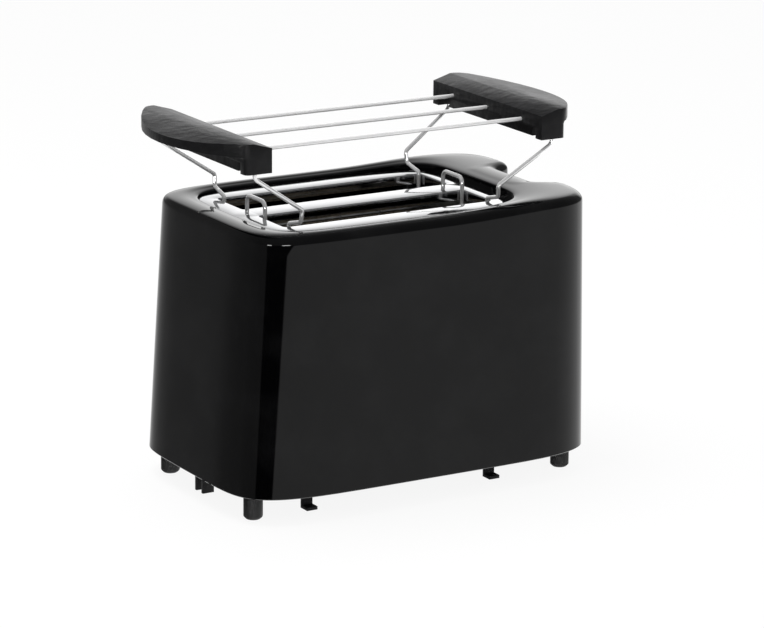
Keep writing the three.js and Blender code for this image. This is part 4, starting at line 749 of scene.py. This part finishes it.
class TOASTER_OT_casing(bpy.types.Operator):
    """Moulded casing with its rim, lever bay, panel window and tray mouth"""

    bl_idname = "toaster.casing"
    bl_label = "Casing"

    def execute(self, context):
        sizes = context.scene.toaster_casing
        bm = bmesh.new()
        rings = self.rings(sizes, context.scene.toaster_plate)
        band(bm, rings + rings[:1])
        close_skin(bm)
        casing = add_piece("casing", centred_mesh("casing", bm), "casing", gloss_black(),
                           ("outer_shell",), CASING_ANGLE)
        low, high = sizes.window_span
        carve(casing, box_bmesh((sizes.bay_face - 2 * sizes.wall, -sizes.window_half_width, low),
                                (sizes.bay_face + sizes.wall, sizes.window_half_width, high)))
        start, end = sizes.mouth_span
        carve(casing, box_bmesh((start, sizes.mouth_front, 0.0),
                                (end, sizes.base_half_width + sizes.wall, sizes.mouth_top)))
        return {"FINISHED"}

    def rings(self, sizes, plate):
        """Rings up the outer wall, over the rim, round the ledge under the plate and down inside the wall."""
        around = outline_stations(sizes)

        def wall_ring(z, inset=0.0, plain_share=1.0):
            return casing_ring(sizes, around, z, inset, plain_share)

        def rim_ring(z, growth, lifted=False, spread=0.0):
            return plate_ring(sizes, plate, around, z, growth, lifted, spread)

        shoulder = sizes.top - sizes.rim_radius
        rise = sizes.rise_foot
        full = sizes.bay_foot + sizes.bay_slope
        levels = stepped(sizes.bay_foot, full, sizes.foot_steps)
        levels += stepped(full, rise, sizes.wall_steps)[1:-1] + stepped(rise, shoulder, sizes.upper_steps)
        rings = [wall_ring(sizes.bottom, sizes.edge_round), wall_ring(sizes.bottom + sizes.edge_round)]
        rings += [wall_ring(z) for z in levels]
        radius = (sizes.rim_radius - sizes.crown) / math.sin(sizes.roll_turn)
        for turn in stepped(0.0, sizes.roll_turn, sizes.rim_steps)[1:]:
            height = shoulder + radius * math.sin(turn)
            rings.append(wall_ring(height, radius * (1 - math.cos(turn)), sizes.plain_roll))
        crest = rings[-1]
        edge = sizes.top - sizes.crown
        rim = rim_ring(edge, sizes.rim_reach, True, sizes.rim_spread)
        rings += [deck_ring(sizes, crest, rim, part) for part in stepped(0.0, 1.0, sizes.deck_steps)[1:-1]]
        rings.append(rim)
        gap = plate.side_gap + plate.seat_gap
        start = sizes.fall_turn
        for turn in stepped(start, math.pi / 2, sizes.fall_steps)[1:]:
            left = (1 - math.sin(turn)) / (1 - math.sin(start))
            fallen = (math.cos(start) - math.cos(turn)) / math.cos(start)
            spread = sizes.rim_spread * (sizes.rim_wall_share + (1 - sizes.rim_wall_share) * left)
            rings.append(rim_ring(edge - (sizes.rim_drop - sizes.crown) * fallen,
                                  gap + (sizes.rim_reach - gap) * left, True, spread))
        spread = sizes.rim_spread * sizes.rim_wall_share
        ledge = plate.top - plate.thickness - plate.seat_gap
        under = ledge - plate.ledge_thickness
        rings.append(rim_ring(ledge, gap, False, spread))
        rings += [rim_ring(ledge, plate.side_gap), rim_ring(ledge, -plate.ledge_width)]
        rings += [rim_ring(under, -plate.ledge_width), rim_ring(under, gap + sizes.wall, False, spread)]
        rings.append(rim_ring(sizes.top - sizes.wall, sizes.rim_reach, True, sizes.rim_spread))
        rings.append(wall_ring(sizes.top - sizes.wall, sizes.rim_radius))
        inner = [shoulder, full, sizes.bay_foot, sizes.bottom + sizes.floor_lap]
        return rings + [wall_ring(z, sizes.wall) for z in inner]


def slot_outline(plate, side, growth, z):
    """The outline of a bread slot, grown all round."""
    half_length = plate.slot_length / 2 + growth
    half_width = plate.slot_width / 2 + growth
    radius = plate.slot_corner + growth
    centre_y = side * (plate.bar_width + plate.slot_width) / 2
    points = []
    for quarter, (sx, sy) in enumerate(((1, 1), (-1, 1), (-1, -1), (1, -1))):
        for step in range(plate.corner_steps + 1):
            angle = (quarter + step / plate.corner_steps) * math.pi / 2
            points.append(Vector((
                plate.slot_centre + sx * (half_length - radius) + radius * math.cos(angle),
                centre_y + sy * (half_width - radius) + radius * math.sin(angle), z)))
    return points


class TOASTER_OT_top_plate(bpy.types.Operator):
    """Bright top plate with two bread slots whose lips turn down"""

    bl_idname = "toaster.top_plate"
    bl_label = "Top plate"

    def execute(self, context):
        casing, plate = context.scene.toaster_casing, context.scene.toaster_plate
        around = outline_stations(casing)
        top, bottom, low = plate.top, plate.top - plate.thickness, plate.top - plate.lip_depth
        edge = [plate_ring(casing, plate, around, top, -plate.rolled),
                plate_ring(casing, plate, around, top - plate.thickness * plate.rolled_share,
                           -plate.rolled * plate.rolled_share),
                plate_ring(casing, plate, around, bottom, 0.0)]
        bands = [edge]
        for side in (-1, 1):
            lip = []
            for turn in stepped(0.0, math.pi / 2, plate.lip_steps):
                lip.append(slot_outline(plate, side, plate.edge_round * (1 - math.sin(turn)),
                                        top - plate.edge_round * (1 - math.cos(turn))))
            lip += [slot_outline(plate, side, 0.0, low), slot_outline(plate, side, plate.lip_wall, low),
                    slot_outline(plate, side, plate.lip_wall, bottom)]
            bands.append(lip)
        bm = bmesh.new()
        for rings in bands:
            band(bm, rings)
        for level in (0, -1):
            fill_between(bm, [rings[level] for rings in bands])
        close_skin(bm)
        add_piece("top_plate", centred_mesh("top_plate", bm), "casing", chrome(), ("slot_plate",),
                  ROUND_ANGLE)
        return {"FINISHED"}


class TOASTER_OT_base(bpy.types.Operator):
    """Floor with its cord hooks and clip, feet, screws and the crumb tray"""

    bl_idname = "toaster.base"
    bl_label = "Base"

    def execute(self, context):
        edges = context.scene.toaster_edges
        refined("base_plate", "casing", satin_black(), edges.base)
        for corner in ("front_left", "front_right", "rear_left", "rear_right"):
            refined("foot_" + corner, "casing", rubber(), edges.foot)
            refined("base_screw_" + corner, "casing", steel(), edges.screw)
        refined("crumb_tray", "tray", gloss_black(), edges.tray)
        return {"FINISHED"}


class TOASTER_OT_rack_handles(bpy.types.Operator):
    """Wing-shaped ends of the bun rack"""

    bl_idname = "toaster.rack_handles"
    bl_label = "Rack handles"

    def execute(self, context):
        rounding = context.scene.toaster_rack.handle_round
        for side in ("left", "right"):
            refined("rack_handle_" + side, "bun_rack", satin_black(), rounding, segments=3,
                    prepare=self.round_corners)
        return {"FINISHED"}

    def round_corners(self, bm):
        """Rounds the upright edges at the wing's two outer corners."""
        rack = bpy.context.scene.toaster_rack
        out, side = rack.corner_place
        near = rack.corner_search

        def at_corner(vert):
            reach = abs(vert.co.x - rack.centre - ORIGIN_SHIFT)
            return abs(vert.co.y) > side - near and abs(reach - out) < near

        edges = [edge for edge in bm.edges if all(at_corner(vert) for vert in edge.verts)]
        round_edges(bm, edges, rack.handle_corner, rack.corner_steps)


def bent_path(corners, steps):
    """Corner points with bend radii, made a path with round bends."""
    path = [corners[0][0]]
    for (before, _), (at, bend), (after, _) in zip(corners, corners[1:], corners[2:]):
        back = (before - at).normalized()
        ahead = (after - at).normalized()
        half = back.angle(ahead) / 2
        reach = bend / math.tan(half)
        centre = at + (back + ahead).normalized() * (bend / math.sin(half))
        start = at + back * reach - centre
        end = at + ahead * reach - centre
        for step in range(steps + 1):
            path.append(centre + start.slerp(end, step / steps) * bend)
    path.append(corners[-1][0])
    return path


class TOASTER_OT_rack_wires(bpy.types.Operator):
    """The rack's three bars and its two bent wire legs"""

    bl_idname = "toaster.rack_wires"
    bl_label = "Rack wires"

    def execute(self, context):
        rack, plate = context.scene.toaster_rack, context.scene.toaster_plate
        reach = rack.inner_face + rack.rod_grip
        for name, y in (("front", -rack.rod_spacing), ("centre", 0.0), ("rear", rack.rod_spacing)):
            ends = [Vector((rack.centre + sign * reach, y, rack.rod_height)) for sign in (-1, 1)]
            wire_piece("bar_" + name, ends, rack.rod_radius, bright_wire(), "rod_" + name)
        rest = plate.top + rack.seat_gap + rack.wire_radius
        loop_y = plate.bar_width / 2 + rack.loop_gap + rack.wire_radius
        half = [
            (*rack.socket, 0.0),
            (*rack.socket[:2], rack.shoulder, rack.shoulder_bend),
            (*rack.knee, rack.bend),
            (*rack.ankle, rack.bend),
            (*rack.drop, rest, rack.tight_bend),
            (*rack.drop, rack.dip, rack.tight_bend),
            (rack.drop[0], loop_y, rack.dip, rack.tight_bend),
            (rack.drop[0], loop_y, rack.loop_top, rack.loop_bend),
        ]
        for name, side in (("left", -1), ("right", 1)):
            near = [(Vector((rack.centre + side * x, -y, z)), bend) for x, y, z, bend in half]
            far = [(Vector((rack.centre + side * x, y, z)), bend) for x, y, z, bend in reversed(half)]
            path = bent_path(near + far, rack.bend_steps)
            wire_piece("leg_wire_" + name, path, rack.wire_radius, polished_wire(), "leg_frame_" + name)
        return {"FINISHED"}


class TOASTER_OT_controls(bpy.types.Operator):
    """Panel, lever, dial and buttons in the lever bay"""

    bl_idname = "toaster.controls"
    bl_label = "Controls"

    def execute(self, context):
        edges = context.scene.toaster_edges
        refined("control_panel", "casing", satin_black(), edges.panel)
        refined("lever_knob", "carriage", gloss_black(), edges.paddle, segments=3)
        refined("browning_dial", "dial", satin_black(), edges.dial)
        for name in ("cancel", "reheat", "defrost"):
            refined("button_" + name, name, grey_plastic(), edges.button)
        return {"FINISHED"}


class TOASTER_OT_printing(bpy.types.Operator):
    """Marks round the dial, wider towards the browner end, and the pointer line on its grip"""

    bl_idname = "toaster.printing"
    bl_label = "Printing"

    def execute(self, context):
        sizes = context.scene.toaster_marks
        low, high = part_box("browning_dial")
        middle = (low + high) / 2
        start = (high.y - low.y) / 2 + sizes.gap
        face = Vector((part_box("control_panel")[1].x, middle.y, middle.z))
        turns = stepped(sizes.first_turn, sizes.first_turn + sizes.sweep, sizes.marks - 1)
        widths = stepped(*sizes.widths, sizes.marks - 1)
        strips = [(turn, start, start + sizes.mark_length, width) for turn, width in zip(turns, widths)]
        self.strip_piece("dial_marks", face, strips, "casing")
        top = Vector((high.x, middle.y, middle.z))
        pointer = (sizes.first_turn, *sizes.pointer_span, sizes.pointer_width)
        self.strip_piece("dial_pointer", top, [pointer], "dial")
        return {"FINISHED"}

    def strip_piece(self, name, centre, strips, body):
        """Thin strips set out round a centre, each by its turn, inner end, outer end and width."""
        film = bpy.context.scene.toaster_marks.film
        bm = bmesh.new()
        for turn, inner, outer, width in strips:
            place = Matrix.Translation(centre) @ Matrix.Rotation(-turn, 4, "X")
            place @= Matrix.Translation((0.0, 0.0, (inner + outer) / 2))
            place @= Matrix.Diagonal((2 * film, width, outer - inner, 1.0))
            bmesh.ops.create_cube(bm, size=1.0, matrix=place)
        add_piece(name, mesh_from(name, bm), body, printing())


class TOASTER_OT_inner_finishes(bpy.types.Operator):
    """Finishes of the chassis, the heating boards and the carriage, whose CAD shapes stay"""

    bl_idname = "toaster.inner_finishes"
    bl_label = "Inner finishes"

    def execute(self, context):
        fitted = {"mica_board": mica, "heating_ribbon": ribbon, "magnet_coil": copper,
                  "circuit_board": laminate, "dial_shaft": grey_plastic, "switch": satin_black,
                  "guide_rod": chrome}
        for name, node in NODES.items():
            make = next((maker for start, maker in fitted.items() if name.startswith(start)), steel)
            node.data.materials.clear()
            node.data.materials.append(make())
        return {"FINISHED"}


class TOASTER_OT_stage(bpy.types.Operator):
    """Pale floor, the light from all round, two soft lamps and the camera"""

    bl_idname = "toaster.stage"
    bl_label = "Stage"

    def execute(self, context):
        levels = context.scene.toaster_studio
        self.floor(context, levels)
        self.surround(context, levels)
        self.lamp(context, "key_above", levels.key_energy, **KEY_LAMP)
        self.lamp(context, "fill_front", levels.fill_energy, **FILL_LAMP)
        self.camera(context, levels)
        context.scene.view_settings.view_transform = "Standard"
        return {"FINISHED"}

    def floor(self, context, levels):
        """A pale table that keeps the shadow and lets reflections see the studio's table instead."""
        bm = bmesh.new()
        bmesh.ops.create_grid(bm, x_segments=2, y_segments=2, size=levels.table_reach)
        floor = bpy.data.objects.new("floor", mesh_from("floor", bm))
        context.scene.collection.objects.link(floor)
        material = bpy.data.materials.new("pale_floor")
        material.use_nodes = True
        tree = material.node_tree
        principled = tree.nodes["Principled BSDF"]
        principled.inputs["Base Color"].default_value = (*(levels.table_grey,) * 3, 1.0)
        principled.inputs["Roughness"].default_value = levels.table_rough
        shaded = principled.outputs["BSDF"]
        ray = add_node(tree, "LightPath", {}).outputs
        white = add_node(tree, "Emission", {"Strength": levels.background}).outputs["Emission"]
        clear = add_node(tree, "BsdfTransparent", {}).outputs["BSDF"]
        seen = mix_shader(tree, levels.table_white, shaded, white)
        seen = mix_shader(tree, ray["Is Camera Ray"], shaded, seen)
        seen = mix_shader(tree, ray["Is Glossy Ray"], seen, clear)
        tree.links.new(seen, tree.nodes["Material Output"].inputs["Surface"])
        floor.data.materials.append(material)

    def surround(self, context, levels):
        """White to the camera, even light to matt surfaces, and a table and a backdrop to reflections."""
        world = bpy.data.worlds.new("studio")
        context.scene.world = world
        world.use_nodes = True
        tree = world.node_tree
        tree.nodes.clear()
        place = add_node(tree, "TexCoord", {}).outputs["Generated"]
        along, across, height = add_node(tree, "SeparateXYZ", {"Vector": place}).outputs
        turn = math_node(tree, "MULTIPLY", math_node(tree, "ARCTAN2", across, along), math.degrees(1.0))
        studio = math_node(tree, "ADD", self.backdrop(tree, levels, turn, height),
                           self.table(tree, levels, turn, height))
        left, right = math.degrees(levels.flag_left), math.degrees(levels.flag_right)
        for middle in (left + STRIP_INSET_LEFT, right - STRIP_INSET_RIGHT):
            wide = self.between(tree, turn, [middle + offset for offset in STRIP_TURNS])
            strip = math_node(tree, "MULTIPLY", wide, self.between(tree, height, STRIP_HEIGHTS))
            strip = math_node(tree, "MULTIPLY", strip, levels.strip_light)
            studio = math_node(tree, "MAXIMUM", studio, strip)
        strengths = levels.ambient, studio, levels.background
        even, studio, white = (self.glow(tree, strength) for strength in strengths)
        ray = add_node(tree, "LightPath", {}).outputs
        seen = mix_shader(tree, ray["Is Glossy Ray"], even, studio)
        seen = mix_shader(tree, ray["Is Camera Ray"], seen, white)
        add_node(tree, "OutputWorld", {"Surface": seen})

    def glow(self, tree, strength):
        inputs = {"Color": (1.0, 1.0, 1.0, 1.0), "Strength": strength}
        return add_node(tree, "Background", inputs).outputs["Background"]

    def table(self, tree, levels, turn, height):
        """The table's strength below the horizon, with the black flag in front of it."""
        points = [(edge, getattr(levels, name) * part) for edge, name, part in TABLE_SHARES]
        table = self.steps(tree, turn, points)
        right, left, lean = (math.degrees(a) for a in (levels.flag_right, levels.flag_left, levels.flag_lean))
        leaning = math_node(tree, "ADD", turn, math_node(tree, "MULTIPLY", height, -lean))
        past = self.steps(tree, leaning, ((right - FLAG_BLUR_RIGHT, 0.0), (right + FLAG_BLUR_RIGHT, 1.0)))
        edges = (left - FLAG_BLUR_LEFT, levels.table_left), (left + FLAG_BLUR_LEFT, 0.0)
        before = self.steps(tree, turn, edges)
        close = self.steps(tree, height, ((NEAR_HEIGHTS[0], levels.table_near), (NEAR_HEIGHTS[1], 0.0)))
        table = math_node(tree, "MAXIMUM", math_node(tree, "MULTIPLY", table, past), before)
        table = math_node(tree, "MAXIMUM", table, close)
        below = self.steps(tree, height, ((HORIZON_HEIGHT, 1.0), (0.0, 0.0)))
        return math_node(tree, "MULTIPLY", table, below)

    def backdrop(self, tree, levels, turn, height):
        """The backdrop's strength above the horizon, with the dim room beside it."""
        right, left = math.degrees(levels.backdrop_right), math.degrees(levels.backdrop_left)
        side = self.between(tree, turn, (right - BACKDROP_BLUR, right + BACKDROP_BLUR, left - BACKDROP_FADE,
                                         left + BACKDROP_FADE_OUT))
        light = math_node(tree, "MULTIPLY", side, self.steps(tree, height, BACKDROP_SHARES))
        light = math_node(tree, "MULTIPLY", light, levels.backdrop)
        light = math_node(tree, "MAXIMUM", light, levels.room)
        over = self.steps(tree, height, ((HORIZON_HEIGHT, 0.0), (0.0, 1.0)))
        return math_node(tree, "MULTIPLY", light, over)

    def steps(self, tree, value, points):
        """A line through (value, strength) points, level outside them."""
        total = points[0][1]
        for (start, low), (end, high) in zip(points, points[1:]):
            if high != low:
                total = math_node(tree, "ADD", remap(tree, value, start, end, 0.0, high - low), total)
        return total

    def between(self, tree, value, places):
        """One between the middle two of four places, nothing beyond the outer two."""
        return self.steps(tree, value, list(zip(places, (0.0, 1.0, 1.0, 0.0))))

    def lamp(self, context, name, energy, size, place, target):
        light = bpy.data.lights.new(name, "AREA")
        light.shape = "RECTANGLE"
        light.size, light.size_y = size
        light.energy = energy
        lamp = bpy.data.objects.new(name, light)
        lamp.location = place
        lamp.rotation_euler = (Vector(target) - Vector(place)).to_track_quat("-Z", "Y").to_euler()
        lamp.visible_glossy = False
        context.scene.collection.objects.link(lamp)

    def camera(self, context, levels):
        azimuth, elevation, roll = levels.azimuth, levels.elevation, levels.roll
        ahead = Vector((math.sin(azimuth) * math.cos(elevation), math.cos(azimuth) * math.cos(elevation),
                        -math.sin(elevation)))
        level_right = Vector((math.cos(azimuth), -math.sin(azimuth), 0.0))
        level_up = level_right.cross(ahead)
        right = level_right * math.cos(roll) + level_up * math.sin(roll)
        up = level_up * math.cos(roll) - level_right * math.sin(roll)
        distance = levels.focal_pixels / levels.scale_pixels * MM
        across = (levels.target_u - levels.picture_width / 2) / levels.focal_pixels * distance
        above = -(levels.target_v - levels.picture_height / 2) / levels.focal_pixels * distance
        target = Vector((ORIGIN_SHIFT, 0.0, levels.target_height))
        place = target - ahead * distance - right * across - up * above
        data = bpy.data.cameras.new("camera")
        data.sensor_fit = "HORIZONTAL"
        data.lens = levels.focal_pixels * data.sensor_width / levels.picture_width
        camera = bpy.data.objects.new("camera", data)
        turn = Matrix((right, up, -ahead)).transposed()
        camera.matrix_world = Matrix.Translation(place) @ turn.to_4x4()
        context.scene.collection.objects.link(camera)
        context.scene.camera = camera


class TOASTER_PT_sidebar(bpy.types.Panel):
    """Lists the pieces, sizes and colours in the 3D view's sidebar"""

    bl_idname = "TOASTER_PT_sidebar"
    bl_label = "Toaster"
    bl_space_type = "VIEW_3D"
    bl_region_type = "UI"
    bl_category = "Toaster"

    def draw(self, context):
        for operator in OPERATORS:
            self.layout.operator(operator.bl_idname)
        for name in PROPERTIES:
            group = getattr(context.scene, name)
            column = self.layout.column(heading=name)
            for prop in group.bl_rna.properties:
                if prop.identifier not in ("rna_type", "name"):
                    column.prop(group, prop.identifier)


PROPERTIES = {
    "toaster_casing": CasingSizes,
    "toaster_plate": PlateSizes,
    "toaster_rack": RackSizes,
    "toaster_edges": EdgeSizes,
    "toaster_marks": MarkSizes,
    "toaster_studio": StudioLevels,
    "toaster_finish": FinishColours,
}
OPERATORS = (
    TOASTER_OT_stage,
    TOASTER_OT_inner_finishes,
    TOASTER_OT_casing,
    TOASTER_OT_top_plate,
    TOASTER_OT_base,
    TOASTER_OT_rack_handles,
    TOASTER_OT_rack_wires,
    TOASTER_OT_controls,
    TOASTER_OT_printing,
)


def register():
    for group in PROPERTIES.values():
        bpy.utils.register_class(group)
    for name, group in PROPERTIES.items():
        setattr(bpy.types.Scene, name, bpy.props.PointerProperty(type=group))
    for operator in OPERATORS:
        bpy.utils.register_class(operator)
    bpy.utils.register_class(TOASTER_PT_sidebar)


def unregister():
    bpy.utils.unregister_class(TOASTER_PT_sidebar)
    for operator in reversed(OPERATORS):
        bpy.utils.unregister_class(operator)
    for name in PROPERTIES:
        delattr(bpy.types.Scene, name)
    for group in PROPERTIES.values():
        bpy.utils.unregister_class(group)


def main():
    register()
    bpy.ops.toaster.stage()
    bpy.ops.toaster.inner_finishes()
    bpy.ops.toaster.casing()
    bpy.ops.toaster.top_plate()
    bpy.ops.toaster.base()
    bpy.ops.toaster.rack_handles()
    bpy.ops.toaster.rack_wires()
    bpy.ops.toaster.controls()
    bpy.ops.toaster.printing()


if __name__ == "__main__":
    main()
